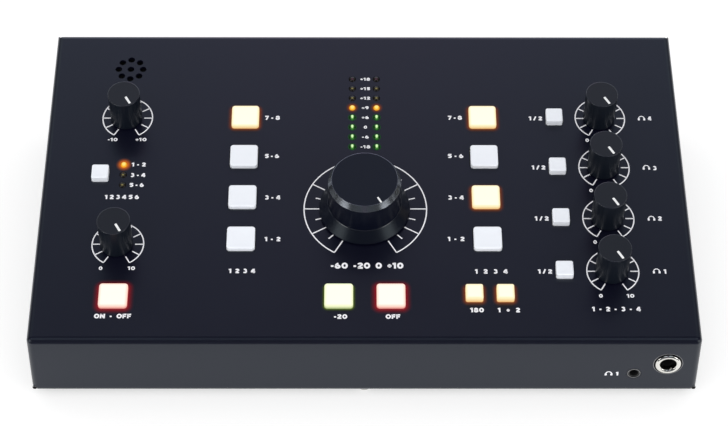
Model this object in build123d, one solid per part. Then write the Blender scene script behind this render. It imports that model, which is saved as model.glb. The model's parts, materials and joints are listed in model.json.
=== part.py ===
from build123d import *
import os
from math import cos, radians, sin, tan

# Desktop studio monitor controller: a folded steel wedge with rotary knobs, lit push keys, an LED
# level meter, a talkback microphone, headphone sockets in the front and line sockets in the back.
#
# Row frame: +X to the right, +Y to the back, +Z up, in millimetres. The origin is on the floor,
# under the middle of the overall box. The control panel has a frame of its own: u to the right,
# v up the slope from the front bend, h out of the panel.

# ---------------------------------------------------------------- driving dimensions: the case
case_width = 267.2
front_height = 30.2             # front face, from the case's lower edge to the bend line
panel_length = 158.6            # sloping control panel, from bend line to bend line
panel_tilt = 9.5                # degrees from the floor
sheet = 1.5                     # top cover steel
bend_radius = 2.5               # outside of every fold in the cover
flange_width = 9.0              # cover's folded-in lower flanges
lip_height = 10.0               # cover's folded-down rear lip
lip_screw_inset = 33.25         # from the case's sides to the outer screws through the lip
corner_relief = 2.0             # diameter of the relief hole in each lower front corner
corner_relief_rise = 1.9        # its centre above the case's lower edge
corner_relief_inset = 1.0       # its centre in from the case's side
corner_relief_depth = 1.6       # through the front sheet, up to the side's sheet
corner_slit = 0.5               # width of the slit from each relief hole down to the lower edge
corner_slit_length = 4.0        # how far the slit runs back through the lower fold
notch_width = 0.8               # bend relief beside each end of the rear lip
notch_length = 1.8
notch_inset = 0.85              # steel left outside the notch
tray_sheet = 1.2                # base tray steel
tray_side_gap = 0.4             # between the rear wall and the cover's sides
tray_top_gap = 0.6              # between the rear wall and the panel

# ---------------------------------------------------------------- driving dimensions: feet, screws
foot_height = 2.0
foot_radius = 7.5
foot_inset_x = 18.0
foot_inset_y = 18.0
foot_stem_radius = 2.0
foot_barb_radius = 2.8
foot_barb_height = 1.2
screw_radius = 1.45
screw_length = 6.0
screw_head_radius = 2.8
screw_head_height = 1.2
screw_recess = 0.6
fit_gap = 0.05                  # radial clearance of shafts, screws and other round fits
overrun = 1.0                   # how far a cutter runs past the face it cuts through

# ---------------------------------------------------------------- driving dimensions: boards
board_depth = 9.0               # control board's upper face below the panel's upper face
board_sheet = 1.6
board_side_gap = 8.0            # from the case's sides to the control board
board_front_v = 5.0
board_rear_v = 137.0
board_notch_gap = 2.4           # beside the front socket, where the control board's corner is left out
audio_board_height = 5.0        # above the base tray
audio_board_side_gap = 11.0     # from the case's sides to the audio board
audio_board_front_gap = 3.0
audio_board_rear_gap = 0.5
spacer_radius = 3.0
left_stud_inset = 6.0           # from the control board's left edge to the screws along it
right_stud_inset = 7.0
left_studs_v = (11.0, 64.0, 126.0)
right_studs_v = (46.0, 130.0)
middle_studs = [(-66.0, 11.0), (26.0, 9.0), (76.0, 11.0), (-66.0, 130.0), (26.0, 130.0), (72.0, 130.0)]
front_pillar_insets = (24.0, 30.0)      # from the audio board's left and right edges
rear_pillar_inset = 10.0
front_pillars_y = -58.0
rear_pillars_y = 20.0

# ---------------------------------------------------------------- driving dimensions: push keys
key_travel = 1.0
key_gap = 0.3                   # round each cap, and under the panel at rest
key_wall = 1.0
key_top = 1.4
key_flange = 0.8
key_flange_thick = 1.0
key_post_radius = 1.5
key_post_end = 6.2              # end of the post below the panel's upper face
key_edge = 0.5                  # rounding of the cap's upper edge
large_key = (11.5, 11.0, 1.8, 1.3)      # u size, v size, height over the panel, corner radius
small_key = (7.0, 7.0, 2.7, 0.8)
key_stop_gap = 0.9              # between a pressed key's flange and its switch
switch_size = 6.0
switch_bore_depth = 3.3
chip_size = (2.0, 1.2, 0.8)
chip_gap = 0.4                  # between a key switch and its light chip
column_pitch = 21.0             # large keys beside the main knob
column_offset = 50.25
phones_pitch = 26.17            # headphone rows
top_row_v = 111.7
side_dial_inset = 33.4          # from the case's sides to the outer dials' columns
dial_shift = -0.5               # how far right of its column each small dial stands
phones_key_step = 19.55         # from the headphone dials' column to their keys
talkback_dial_v = 46.4
talkback_key_shift = -0.2       # to the right of the left dials' column
input_key_shift = -9.5
front_row_v = 20.7
dim_key_u = -10.3
mute_key_u = 10.6
polarity_key_place = (43.95, 21.9)
mono_key_place = (56.4, 21.9)
input_key_v = 81.7

# ---------------------------------------------------------------- driving dimensions: knobs
dial_end_angle = 30.0           # end stops' angle from straight down the panel
small_knob_radius = 6.6
small_knob_top_radius = 6.7
small_knob_height = 16.4
small_knob_lift = 0.6
small_knob_rim = 0.35
small_knob_cavity = (5.2, 3.6)  # radius, height over the panel
small_pointer = (1.75, 5.85, 0.95)      # inner radius, outer radius, width
pointer_depth = 0.2
main_knob_height = 20.4
main_knob_lift = 0.8
main_knob_skirt_radius = 18.6
main_knob_skirt_edge = 0.5      # height of the skirt's upright edge
main_knob_waist = (15.15, 5.8)  # radius and height where the skirt meets the grip
main_knob_shoulder = (14.85, 17.9)
main_knob_top_radius = 13.45
main_knob_cavity = (9.0, 5.2)
main_pointer = (10.4, 13.3, 0.7)
main_dial = (0.1, 64.2)
small_shaft = (2.0, 12.0)       # radius, height over the panel
small_bushing = (3.0, 2.6)
small_nut = (8.0, 1.6)          # across flats, thickness
small_pot = (9.8, 11.0)         # body's u and v size
small_wiper = (3.2, 0.8)        # radius, thickness
main_shaft = (3.0, 15.5)
main_bushing = (4.5, 4.0)
main_nut = (12.0, 2.0)
main_pot_radius = 8.25
main_wiper = (6.0, 1.0)
wiper_gap = 0.4                 # round and over each wiper
pot_floor = 0.8
knob_bore_slack = 0.3           # over a shaft's end

# ---------------------------------------------------------------- driving dimensions: lamps, microphone
lamp_radius = 1.45
lamp_gap = 0.1
lamp_rise = 0.9                 # dome's top over the panel
lamp_body = 4.3
lamp_flange = (1.8, 0.9)
lamp_lead = (2.2, 0.5)
meter_columns = (-4.95, 5.35)
meter_first_v = 96.4
meter_pitch = 5.243
meter_colours = ["green", "green", "green", "green", "amber", "amber", "amber", "red"]
input_lamps_shift = -0.05       # to the right of the left dials' column
input_lamps_v = (86.9, 81.6, 76.4)
mic_shift = -0.3                # to the right of the left dials' column
mic_v = 138.5
mic_ring_radius = 5.25
mic_hole_radius = 1.45
mic_ring_holes = 8
mic_boot_radius = 7.6
mic_boot_height = 6.0
mic_capsule_radius = 4.9
mic_capsule_height = 3.2
mic_air_gap = 1.4

# ---------------------------------------------------------------- driving dimensions: sockets
phone_bore = 3.25               # radius of a 6.35 mm socket
mini_bore = 1.8                 # radius of a 3.5 mm socket
front_socket_inset = 12.6       # from the case's right side
front_socket_drop = 13.6        # below the bend line
front_socket_hole = 5.7
front_nose_radius = 5.1
front_nose_proud = 2.0
front_socket_body = (14.0, 26.0, 6.5)   # width, length, height over the axis
socket_front_gap = 0.5          # between a front socket's body and the front wall
mini_front_step = 13.2          # from the large front socket to the small one
mini_front_drop = 19.3
mini_body = (6.4, 12.0, 3.2)
mini_nose_radius = 2.5
mini_nose_recess = 0.3
mini_hole = 2.9
bore_end_wall = 2.0
line_columns = 8
line_pitch = 17.0
line_inset = 20.0               # from the case's side to the first line socket
line_rows = (18.0, 34.5)
line_body = (15.0, 24.0, 6.5)
line_nose_radius = 5.5
line_nut = (14.0, 2.2)
nose_past_nut = 0.5
coax_barrel = (4.15, 9.0)       # radius, length outside the wall
coax_body = (10.0, 12.0)        # width, length
coax_height = 17.2
coax_pin_bore = 1.7
coax_collar = 0.8               # rim that carries the insulator ring
optical_body = (13.6, 11.0, 11.0)       # width, length, height
optical_mouth = 8.4
optical_depth = 7.0
optical_proud = 0.8
power_body = (10.0, 14.0, 11.0)
power_bore = 3.1
power_bore_depth = 9.5
power_pin = 1.0
switch_inset = 21.0             # from the case's side to the power switch
switch_z = 27.0
switch_flange = (15.0, 21.0, 1.8)
switch_body = (12.6, 18.8, 12.0)
switch_cavity = (10.2, 16.2, 8.0)
rocker_width = 9.4
rocker_half_length = 7.2
rocker_outer = (2.6, 1.5)       # height over the pivot at the ends and in the middle
rocker_inner = (2.4, 4.0)       # depth under the pivot at the ends and in the middle
rocker_tilt = 8.0
rocker_pin_radius = 1.0
rocker_pin_reach = 5.9
wall_hole_gap = 0.15

# ---------------------------------------------------------------- driving dimensions: inner parts
ribbon_width = 20.0
ribbon_thick = 0.9
ribbon_x = -30.0
ribbon_shift = 16.0             # lower header in front of the upper one
ribbon_rise = 3.2               # upright run at each header
ribbon_radius = 3.0
ribbon_v = 60.0
header_size = (24.0, 5.0, 5.0)
capacitor = (4.0, 9.0)
capacitor_places = [
    (-70.0, -20.0), (-70.0, -8.0), (-58.0, -20.0), (-58.0, -8.0),
    (60.0, -20.0), (72.0, -20.0), (84.0, -20.0), (60.0, -8.0),
]
chip_block = (10.0, 6.0, 1.8)
chip_places = [
    (-90.0, 5.0), (-74.0, 5.0), (-58.0, 5.0),
    (10.0, -20.0), (10.0, -8.0), (30.0, -20.0), (30.0, -8.0),
]

# ---------------------------------------------------------------- worked out from the above
tilt = radians(panel_tilt)
case_depth = panel_length * cos(tilt)
overall_depth = front_nose_proud + case_depth - sheet + coax_barrel[1]
y_front = front_nose_proud - overall_depth / 2
y_rear = y_front + case_depth
cover_bottom = foot_height + tray_sheet
front_top = cover_bottom + front_height
rear_top = front_top + panel_length * sin(tilt)
wall_outer = y_rear - sheet
wall_inner = wall_outer - tray_sheet
half_width = case_width / 2
board_half_width = half_width - board_side_gap
audio_board_half_width = half_width - audio_board_side_gap
left_stud_u = left_stud_inset - board_half_width
right_stud_u = board_half_width - right_stud_inset
panel_studs = middle_studs + [(left_stud_u, v) for v in left_studs_v]
panel_studs += [(right_stud_u, v) for v in right_studs_v]
tray_pillars = [
    (front_pillar_insets[0] - audio_board_half_width, front_pillars_y), (0.0, front_pillars_y),
    (audio_board_half_width - front_pillar_insets[1], front_pillars_y),
    (rear_pillar_inset - audio_board_half_width, rear_pillars_y), (0.0, rear_pillars_y),
    (audio_board_half_width - rear_pillar_inset, rear_pillars_y),
]
side_dial_u = half_width - side_dial_inset
phones_key_u = side_dial_u - phones_key_step
large_keys = {
    "talkback_key": (talkback_key_shift - side_dial_u, front_row_v),
    "dim_key": (dim_key_u, front_row_v),
    "mute_key": (mute_key_u, front_row_v),
}
small_keys = {
    "polarity_key": polarity_key_place,
    "mono_key": mono_key_place,
    "input_key": (input_key_shift - side_dial_u, input_key_v),
}
input_lamps_u = input_lamps_shift - side_dial_u
mic_place = (mic_shift - side_dial_u, mic_v)
front_socket = (half_width - front_socket_inset, front_socket_drop)
mini_front = (front_socket[0] - mini_front_step, mini_front_drop)
line_first_x = line_inset - half_width
line_last_x = line_first_x + (line_columns - 1) * line_pitch
switch_place = (half_width - switch_inset, switch_z)
rear_step = (switch_place[0] - line_last_x) / 5
coax_x = line_last_x + rear_step
optical_x = coax_x + rear_step
mini_rear_x = optical_x + rear_step
power_x = mini_rear_x + rear_step
audio_top = cover_bottom + audio_board_height + board_sheet
screw_hole = screw_radius + fit_gap
switch_height = board_depth - sheet - key_gap - key_flange_thick - key_travel - key_stop_gap
socket_seat = sheet + socket_front_gap
front_socket_z = front_top - front_socket[1]
mini_front_z = front_top - mini_front[1]
bottom_up = (Align.CENTER, Align.CENTER, Align.MIN)
middle_y = (y_front + y_rear) / 2
panel_plane = Plane(origin=(0, y_front, front_top), x_dir=(1, 0, 0), z_dir=(0, -sin(tilt), cos(tilt)))

nodes = {}


# ---------------------------------------------------------------- helpers
def on_panel(u, v, h=0.0):
    """Place at a point of the control panel, with local z along the panel's normal."""
    return panel_plane.location * Pos(u, v, h)


def at_front(x, z):
    """Place on the front face, with local z pointing out of it and local y up."""
    return Plane(origin=(x, y_front, z), x_dir=(1, 0, 0), z_dir=(0, -1, 0)).location


def at_rear(x, z):
    """Place on the rear wall's outer face, with local z pointing out of it and local y down."""
    return Plane(origin=(x, wall_outer, z), x_dir=(1, 0, 0), z_dir=(0, 1, 0)).location


def post(radius, low, high):
    """Upright cylinder between two heights."""
    return Pos(0, 0, low) * Cylinder(radius, high - low, align=bottom_up)


def block(width, depth, low, high):
    """Upright box between two heights."""
    return Pos(0, 0, low) * Box(width, depth, high - low, align=bottom_up)


def slab(width, depth, low, high, corner):
    """Upright box with rounded upright edges."""
    return Pos(0, 0, low) * extrude(RectangleRounded(width, depth, corner), high - low)


def hexagon(across_flats, low, high):
    """Upright hexagonal prism."""
    return Pos(0, 0, low) * extrude(RegularPolygon(across_flats / 2, 6, major_radius=False), high - low)


def span(low_corner, high_corner):
    """Box between two corners."""
    size = [b - a for a, b in zip(low_corner, high_corner)]
    middle = [(a + b) / 2 for a, b in zip(low_corner, high_corner)]
    return Pos(*middle) * Box(*size)


def edges_at(shape, points):
    """The edges of a shape that pass through the given points."""
    return [shape.edges().sort_by_distance(Vector(*point))[0] for point in points]


def group(shapes):
    """Separate solids that share one node."""
    return Compound(children=list(shapes))


# ---------------------------------------------------------------- the steel case
def wedge(inset, low, rear, radius):
    """Wedge-shaped prism, moved in from the outer skin by inset, with its folds rounded."""
    front = y_front + inset
    drop = inset / cos(tilt)
    top_front = front_top + inset * tan(tilt) - drop
    top_rear = front_top + (rear - y_front) * tan(tilt) - drop
    side = half_width - inset
    outline = Polyline((front, low), (front, top_front), (rear, top_rear), (rear, low), close=True)
    prism = Pos(-side, 0, 0) * extrude(Plane.YZ * make_face(outline), 2 * side)
    mid_y = (front + rear) / 2
    mid_top = (top_front + top_rear) / 2
    folds = [(0, front, top_front), (0, rear, top_rear), (0, front, low)]
    for x in (-side, side):
        folds += [(x, mid_y, mid_top), (x, front, (low + top_front) / 2), (x, mid_y, low)]
    return fillet(edges_at(prism, folds), radius)


def all_keys():
    """Every key's name, place on the panel and size."""
    keys = {name: (place, large_key) for name, place in large_keys.items()}
    for row in range(4):
        v = top_row_v - row * column_pitch
        keys[f"source_key_{row + 1}"] = ((-column_offset, v), large_key)
        keys[f"speaker_key_{row + 1}"] = ((column_offset, v), large_key)
        keys[f"phones_key_{row + 1}"] = ((phones_key_u, top_row_v - row * phones_pitch), small_key)
    for name, place in small_keys.items():
        keys[name] = (place, small_key)
    return keys


def small_dials():
    """Every small dial's name and place on the panel."""
    left_u = dial_shift - side_dial_u
    dials = {"input": (left_u, top_row_v), "talkback": (left_u, talkback_dial_v)}
    for row in range(4):
        dials[f"phones_{row + 1}"] = (side_dial_u + dial_shift, top_row_v - row * phones_pitch)
    return dials


def lamps():
    """Every indicator lamp's place on the panel, by colour."""
    places = {"green": [], "amber": [(input_lamps_u, v) for v in input_lamps_v], "red": []}
    for step, colour in enumerate(meter_colours):
        for u in meter_columns:
            places[colour].append((u, meter_first_v + step * meter_pitch))
    return places


def line_sockets():
    """Every rear line socket's x and z."""
    return [(line_first_x + column * line_pitch, z) for column in range(line_columns) for z in line_rows]


def tray_screws():
    """Screws up through the tray into the cover's lower flanges: x and y."""
    x_side = half_width - flange_width / 2 - sheet / 2
    y_first = y_front + flange_width + screw_head_radius
    y_last = wall_inner - 2 * screw_head_radius
    sides = [(x, y) for x in (-x_side, x_side) for y in (y_first, middle_y, y_last)]
    return sides + [(0, y_front + flange_width / 2 + sheet / 2)]


def lip_screws():
    """Screws through the rear lip into the tray's rear wall: x and z."""
    x_outer = half_width - lip_screw_inset
    return [(x, rear_top - lip_height / 2 - sheet / 2) for x in (-x_outer, 0.0, x_outer)]


def panel_holes():
    """Cutters for everything that shows through the control panel."""
    low = -2 * sheet
    high = sheet
    cutters = []
    for (u, v), (width, depth, _, corner) in all_keys().values():
        hole = slab(width + 2 * key_gap, depth + 2 * key_gap, low, high, corner + key_gap)
        cutters.append(on_panel(u, v) * hole)
    for u, v in small_dials().values():
        cutters.append(on_panel(u, v) * post(small_bushing[0] + lamp_gap, low, high))
    cutters.append(on_panel(*main_dial) * post(main_bushing[0] + lamp_gap, low, high))
    for places in lamps().values():
        cutters += [on_panel(u, v) * post(lamp_radius + lamp_gap, low, high) for u, v in places]
    ring = on_panel(*mic_place) * PolarLocations(mic_ring_radius, mic_ring_holes)
    cutters += [place * post(mic_hole_radius, low, high) for place in ring]
    cutters.append(on_panel(*mic_place) * post(mic_hole_radius, low, high))
    return cutters


def top_cover():
    """Folded steel cover: panel, front, sides, rear lip and lower flanges in one sheet."""
    shell = wedge(0, cover_bottom, y_rear, bend_radius)
    shell -= wedge(sheet, cover_bottom + sheet, y_rear - sheet, bend_radius - sheet)
    inside = half_width - sheet
    flange_end = wall_inner - tray_side_gap
    lip_bottom = rear_top - lip_height
    past = sheet
    cutters = [
        span((flange_width - half_width, y_front + flange_width, cover_bottom - past),
             (half_width - flange_width, y_rear + past, cover_bottom + 2 * sheet)),
        span((-inside, flange_end, cover_bottom - past), (inside, y_rear + past, lip_bottom)),
    ]
    for side in (-1, 1):
        notch_middle = side * (half_width - notch_inset - notch_width / 2)
        notch = block(notch_width, 2 * notch_length, lip_bottom - past, rear_top + past)
        cutters.append(Pos(notch_middle, y_rear, 0) * notch)
        relief = post(corner_relief / 2, -corner_relief_depth, past)
        relief_x = side * (half_width - corner_relief_inset)
        cutters.append(at_front(relief_x, cover_bottom + corner_relief_rise) * relief)
        slit_x = side * (half_width - corner_relief_inset - corner_relief / 2 + corner_slit / 2)
        slit = block(corner_slit, 2 * corner_slit_length, cover_bottom - past,
                     cover_bottom + corner_relief_rise)
        cutters.append(Pos(slit_x, y_front, 0) * slit)
    cutters += panel_holes()
    cutters.append(at_front(front_socket[0], front_socket_z) * post(front_socket_hole, -2 * sheet, past))
    cutters.append(at_front(mini_front[0], mini_front_z) * post(mini_hole, -2 * sheet, past))
    through = post(screw_hole, cover_bottom - past, cover_bottom + 2 * sheet)
    cutters += [Pos(x, y, 0) * through for x, y in tray_screws()]
    cutters += [at_rear(x, z) * post(screw_hole, -past / 2, 2 * sheet) for x, z in lip_screws()]
    return shell - cutters


def wall_holes():
    """Cutters for the sockets and the switch in the tray's rear wall."""
    low = -2 * tray_sheet
    high = tray_sheet
    cutters = [at_rear(x, z) * post(line_nose_radius + wall_hole_gap, low, high) for x, z in line_sockets()]
    cutters.append(at_rear(coax_x, coax_height) * post(coax_barrel[0] + wall_hole_gap, low, high))
    mouth = optical_body[0] - 2 * sheet
    cutters.append(at_rear(optical_x, optical_axis()) * block(mouth, mouth - sheet, low, high))
    mini_hole_rear = post(mini_nose_radius + wall_hole_gap, low, high)
    cutters.append(at_rear(mini_rear_x, audio_top + mini_body[2]) * mini_hole_rear)
    cutters.append(at_rear(power_x, power_axis()) * post(power_bore + 2 * wall_hole_gap, low, high))
    switch_hole = block(switch_body[0] + 2 * wall_hole_gap, switch_body[1] + 2 * wall_hole_gap, low, high)
    cutters.append(at_rear(*switch_place) * switch_hole)
    cutters += [at_rear(x, z) * post(screw_hole, low, high) for x, z in lip_screws()]
    return cutters


def optical_axis():
    """Height of the optical socket's mouth."""
    return audio_top + optical_body[2] / 2


def power_axis():
    """Height of the power inlet's bore."""
    return audio_top + power_body[2] / 2


def feet_places():
    """The feet's x and y."""
    x = half_width - foot_inset_x
    return [(sx, y) for sx in (-x, x) for y in (y_front + foot_inset_y, y_rear - foot_inset_y)]


def base_tray():
    """Base plate with the rear wall folded up from it."""
    edge = bend_radius
    plate = span((edge - half_width, y_front + edge, foot_height),
                 (half_width - edge, wall_outer, cover_bottom))
    wall_side = half_width - sheet - tray_side_gap
    wall_top = front_top + (wall_inner - y_front) * tan(tilt) - sheet / cos(tilt) - tray_top_gap
    wall = span((-wall_side, wall_inner, foot_height), (wall_side, wall_outer, wall_top))
    tray = plate + wall
    tray = fillet(edges_at(tray, [(0, wall_outer, foot_height)]), tray_sheet)
    cutters = wall_holes()
    through = (foot_height - tray_sheet, cover_bottom + tray_sheet)
    cutters += [Pos(x, y, 0) * post(screw_hole, *through) for x, y in tray_screws()]
    cutters += [Pos(x, y, 0) * post(foot_stem_radius + fit_gap, *through) for x, y in feet_places()]
    return tray - cutters


def rubber_foot():
    """Foot with a barbed stem that snaps through the tray."""
    pad = post(foot_radius, 0, foot_height)
    pad = fillet(edges_at(pad, [(0, foot_radius, 0)]), foot_height / 4)
    stem = post(foot_stem_radius, foot_height, cover_bottom)
    barb = post(foot_barb_radius, cover_bottom, cover_bottom + foot_barb_height)
    return pad + stem + barb


def screw():
    """Low-headed cross-recess screw, head up, with its seat at z = 0."""
    head = post(screw_head_radius, 0, screw_head_height)
    head = fillet(edges_at(head, [(0, screw_head_radius, screw_head_height)]), screw_head_height / 2)
    shank = post(screw_radius, -screw_length, 0)
    slot_length = 1.2 * screw_head_radius
    low = screw_head_height - screw_recess
    slots = [block(slot_length, screw_recess, low, 2 * screw_head_height),
             block(screw_recess, slot_length, low, 2 * screw_head_height)]
    return head + shank - slots


def machine_screws():
    """All the screws: tray, rear lip and both boards."""
    flip = Rot(180, 0, 0)
    screws = [Pos(x, y, foot_height) * flip * screw() for x, y in tray_screws()]
    screws += [at_rear(x, z) * Pos(0, 0, sheet) * screw() for x, z in lip_screws()]
    screws += [on_panel(u, v, -board_depth - board_sheet) * flip * screw() for u, v in panel_studs]
    screws += [Pos(x, y, audio_top) * screw() for x, y in tray_pillars]
    return group(screws)


# ---------------------------------------------------------------- boards and what stands on them
def control_board():
    """Board under the panel that carries the dials, key switches and lamps."""
    plate = span((-board_half_width, board_front_v, -board_depth - board_sheet),
                 (board_half_width, board_rear_v, -board_depth))
    low = -board_depth - board_sheet - overrun
    high = overrun - board_depth
    notch_u = front_socket[0] - front_socket_body[0] / 2 - board_notch_gap
    notch_v = (socket_seat + front_socket_body[1]) / cos(tilt)
    corner = span((notch_u, board_front_v - overrun, low), (board_half_width + overrun, notch_v, high))
    holes = [Pos(u, v, 0) * post(screw_hole, low, high) for u, v in panel_studs]
    return panel_plane.location * (plate - corner - holes)


def audio_board():
    """Board on the base tray that carries every socket, with its capacitors and amplifier chips."""
    low = audio_top - board_sheet
    plate = span((-audio_board_half_width, y_front + audio_board_front_gap, low),
                 (audio_board_half_width, wall_inner - audio_board_rear_gap, audio_top))
    through = post(screw_hole, low - overrun, audio_top + overrun)
    parts = [plate - [Pos(x, y, 0) * through for x, y in tray_pillars]]
    radius, height = capacitor
    parts += [Pos(x, y, 0) * post(radius, audio_top, audio_top + height) for x, y in capacitor_places]
    width, depth, thick = chip_block
    parts += [Pos(x, y, 0) * block(width, depth, audio_top, audio_top + thick) for x, y in chip_places]
    return group(parts)


def board_spacers():
    """Threaded spacers: from the panel to the control board, and from the tray to the audio board."""
    hole = post(screw_hole, -screw_length, 0)
    long_spacer = hexagon(2 * spacer_radius, -board_depth, -sheet)
    long_spacer -= Pos(0, 0, screw_length - board_sheet - board_depth) * hole
    audio_low = audio_top - board_sheet
    short_spacer = hexagon(2 * spacer_radius, cover_bottom, audio_low) - Pos(0, 0, audio_low) * hole
    spacers = [on_panel(u, v) * long_spacer for u, v in panel_studs]
    spacers += [Pos(x, y, 0) * short_spacer for x, y in tray_pillars]
    return group(spacers)


def ribbon_cable():
    """Flat cable between the two boards, with a header at each end."""
    width, depth, height = header_size
    top_place = on_panel(ribbon_x, ribbon_v, -board_depth - board_sheet)
    upper = top_place * block(width, depth, -height, 0)
    upper_point = (top_place * Pos(0, 0, -height)).position
    lower_y = upper_point.Y - ribbon_shift
    lower_z = audio_top + height
    lower = Pos(ribbon_x, lower_y, 0) * block(width, depth, audio_top, lower_z)
    path = FilletPolyline((lower_y, lower_z - ribbon_thick), (lower_y, lower_z + ribbon_rise),
                          (upper_point.Y, upper_point.Z - ribbon_rise),
                          (upper_point.Y, upper_point.Z + ribbon_thick), radius=ribbon_radius)
    strip = extrude(Plane.YZ * trace(path, ribbon_thick), ribbon_width)
    return lower + upper + Pos(ribbon_x - ribbon_width / 2, 0, 0) * strip


# ---------------------------------------------------------------- push keys
def key_cap(size):
    """Hollow cap with a retaining flange under the panel and a post into its switch."""
    width, depth, rise, corner = size
    flange_top = -sheet - key_gap
    flange_bottom = flange_top - key_flange_thick
    cap = slab(width, depth, flange_bottom, rise, corner)
    cap = fillet(cap.faces().sort_by(Axis.Z)[-1].edges(), key_edge)
    cap += slab(width + 2 * key_flange, depth + 2 * key_flange, flange_bottom, flange_top, corner)
    cap -= block(width - 2 * key_wall, depth - 2 * key_wall, flange_bottom - key_wall, rise - key_top)
    return cap + post(key_post_radius, -key_post_end, rise - key_top)


def key_switches():
    """Switch under each key, with a bore for the key's post."""
    top = switch_height - board_depth
    body = block(switch_size, switch_size, -board_depth, top)
    body = fillet(edges_at(body, [(0, y, top) for y in (-switch_size / 2, switch_size / 2)]), key_edge)
    body -= post(key_post_radius + fit_gap, top - switch_bore_depth, top + overrun)
    return group(on_panel(u, v) * body for (u, v), _ in all_keys().values())


def key_lights():
    """Light chip beside each switch."""
    width, depth, height = chip_size
    offset = switch_size / 2 + chip_gap + depth / 2
    chip = block(width, depth, -board_depth, height - board_depth)
    return group(on_panel(u, v + offset) * chip for (u, v), _ in all_keys().values())


# ---------------------------------------------------------------- knobs and their potentiometers
def pointer_cut(pointer, top):
    """Groove for the painted pointer, at the full clockwise end of the dial."""
    inner, outer, width = pointer
    bar = Pos((inner + outer) / 2, 0, top - pointer_depth) * Box(outer - inner, width, 2 * pointer_depth,
                                                                align=bottom_up)
    return Rot(0, 0, dial_end_angle - 90) * bar


def revolved(points):
    """Solid of revolution about z from radius and height pairs, closed along the axis."""
    outline = Polyline((0, points[0][1]), *points, (0, points[-1][1]), close=True)
    return revolve(Plane.XZ * make_face(outline), Axis.Z)


def small_knob():
    """Plain round knob, hollow over the nut, with a blind bore for the shaft."""
    rim = small_knob_rim
    body = revolved([(small_knob_radius, small_knob_lift), (small_knob_top_radius, small_knob_height - rim),
                     (small_knob_top_radius - rim, small_knob_height)])
    cavity_radius, cavity_top = small_knob_cavity
    body -= post(cavity_radius, small_knob_lift - overrun, cavity_top)
    body -= post(small_shaft[0] + fit_gap, cavity_top - overrun, small_shaft[1] + knob_bore_slack)
    return body - pointer_cut(small_pointer, small_knob_height)


def main_knob():
    """Large knob: conical skirt, upright grip and a bevelled crown round the flat top."""
    body = revolved([(main_knob_skirt_radius, main_knob_lift),
                     (main_knob_skirt_radius, main_knob_lift + main_knob_skirt_edge),
                     main_knob_waist, main_knob_shoulder, (main_knob_top_radius, main_knob_height)])
    cavity_radius, cavity_top = main_knob_cavity
    body -= post(cavity_radius, main_knob_lift - overrun, cavity_top)
    body -= post(main_shaft[0] + fit_gap, cavity_top - overrun, main_shaft[1] + knob_bore_slack)
    return body - pointer_cut(main_pointer, main_knob_height)


def wiper_level():
    """Lower face of a wiper disc."""
    return pot_floor + wiper_gap - board_depth


def dial_shaft(shaft, wiper):
    """Shaft with the wiper disc at its lower end."""
    low = wiper_level()
    return post(shaft[0], low, shaft[1]) + post(wiper[0], low, low + wiper[1])


def dial_pot(body, shaft, wiper, bushing):
    """Potentiometer body with its bushing and the chamber that the wiper turns in."""
    low = wiper_level()
    chamber = post(wiper[0] + wiper_gap, low - wiper_gap, low + wiper[1] + wiper_gap)
    bore = post(shaft[0] + fit_gap, low, bushing[1] + overrun)
    return body + post(bushing[0], -sheet, bushing[1]) - chamber - bore


def dial_nut(nut, bushing):
    """Nut that clamps the panel on a bushing."""
    return hexagon(nut[0], 0, nut[1]) - post(bushing[0] + fit_gap, -overrun, nut[1] + overrun)


# ---------------------------------------------------------------- lamps and microphone
def lamp():
    """Round-topped 3 mm lamp with its flange and leads down to the board."""
    flange_radius, flange_height = lamp_flange
    dome_base = lamp_rise - lamp_radius
    lens = post(lamp_radius, lamp_rise - lamp_body, dome_base) + Pos(0, 0, dome_base) * Sphere(lamp_radius)
    flange_low = lamp_rise - lamp_body - flange_height
    flange = post(flange_radius, flange_low, lamp_rise - lamp_body)
    leads = block(*lamp_lead, -board_depth, flange_low)
    return lens + flange + leads


def mic_boot():
    """Rubber cup that holds the microphone capsule against the panel's holes."""
    low = -sheet - mic_boot_height
    cup = post(mic_boot_radius, low, -sheet)
    cup -= post(mic_ring_radius + mic_hole_radius, -sheet - mic_air_gap, 0)
    return cup - post(mic_capsule_radius + fit_gap, -sheet - mic_air_gap - mic_capsule_height, 0)


def mic_capsule():
    """Electret capsule seated in the boot."""
    low = -sheet - mic_air_gap - mic_capsule_height
    return post(mic_capsule_radius, low, low + mic_capsule_height)


# ---------------------------------------------------------------- sockets
def front_jack():
    """Body of the large headphone socket, on the audio board behind the front wall."""
    width, length, over = front_socket_body
    x = front_socket[0]
    body_front = y_front + socket_seat
    body = span((x - width / 2, body_front, audio_top),
                (x + width / 2, body_front + length, front_socket_z + over))
    bore = post(phone_bore, bore_end_wall - socket_seat - length, overrun)
    return body - at_front(x, front_socket_z) * bore


def front_jack_nose():
    """Plated collar of the large headphone socket."""
    collar = post(front_nose_radius, -socket_seat, front_nose_proud)
    collar = fillet(edges_at(collar, [(0, front_nose_radius, front_nose_proud)]), front_nose_proud / 2)
    collar -= post(phone_bore, -socket_seat - overrun, front_nose_proud + overrun)
    return at_front(front_socket[0], front_socket_z) * collar


def mini_jack(body, place, seat):
    """Small socket: its body behind a wall, with a nose and a bore at a place on the wall's face."""
    nose = post(mini_nose_radius, -seat, -mini_nose_recess)
    bore = post(mini_bore, bore_end_wall - seat - mini_body[1], overrun)
    return body + place * nose - place * bore


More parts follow.
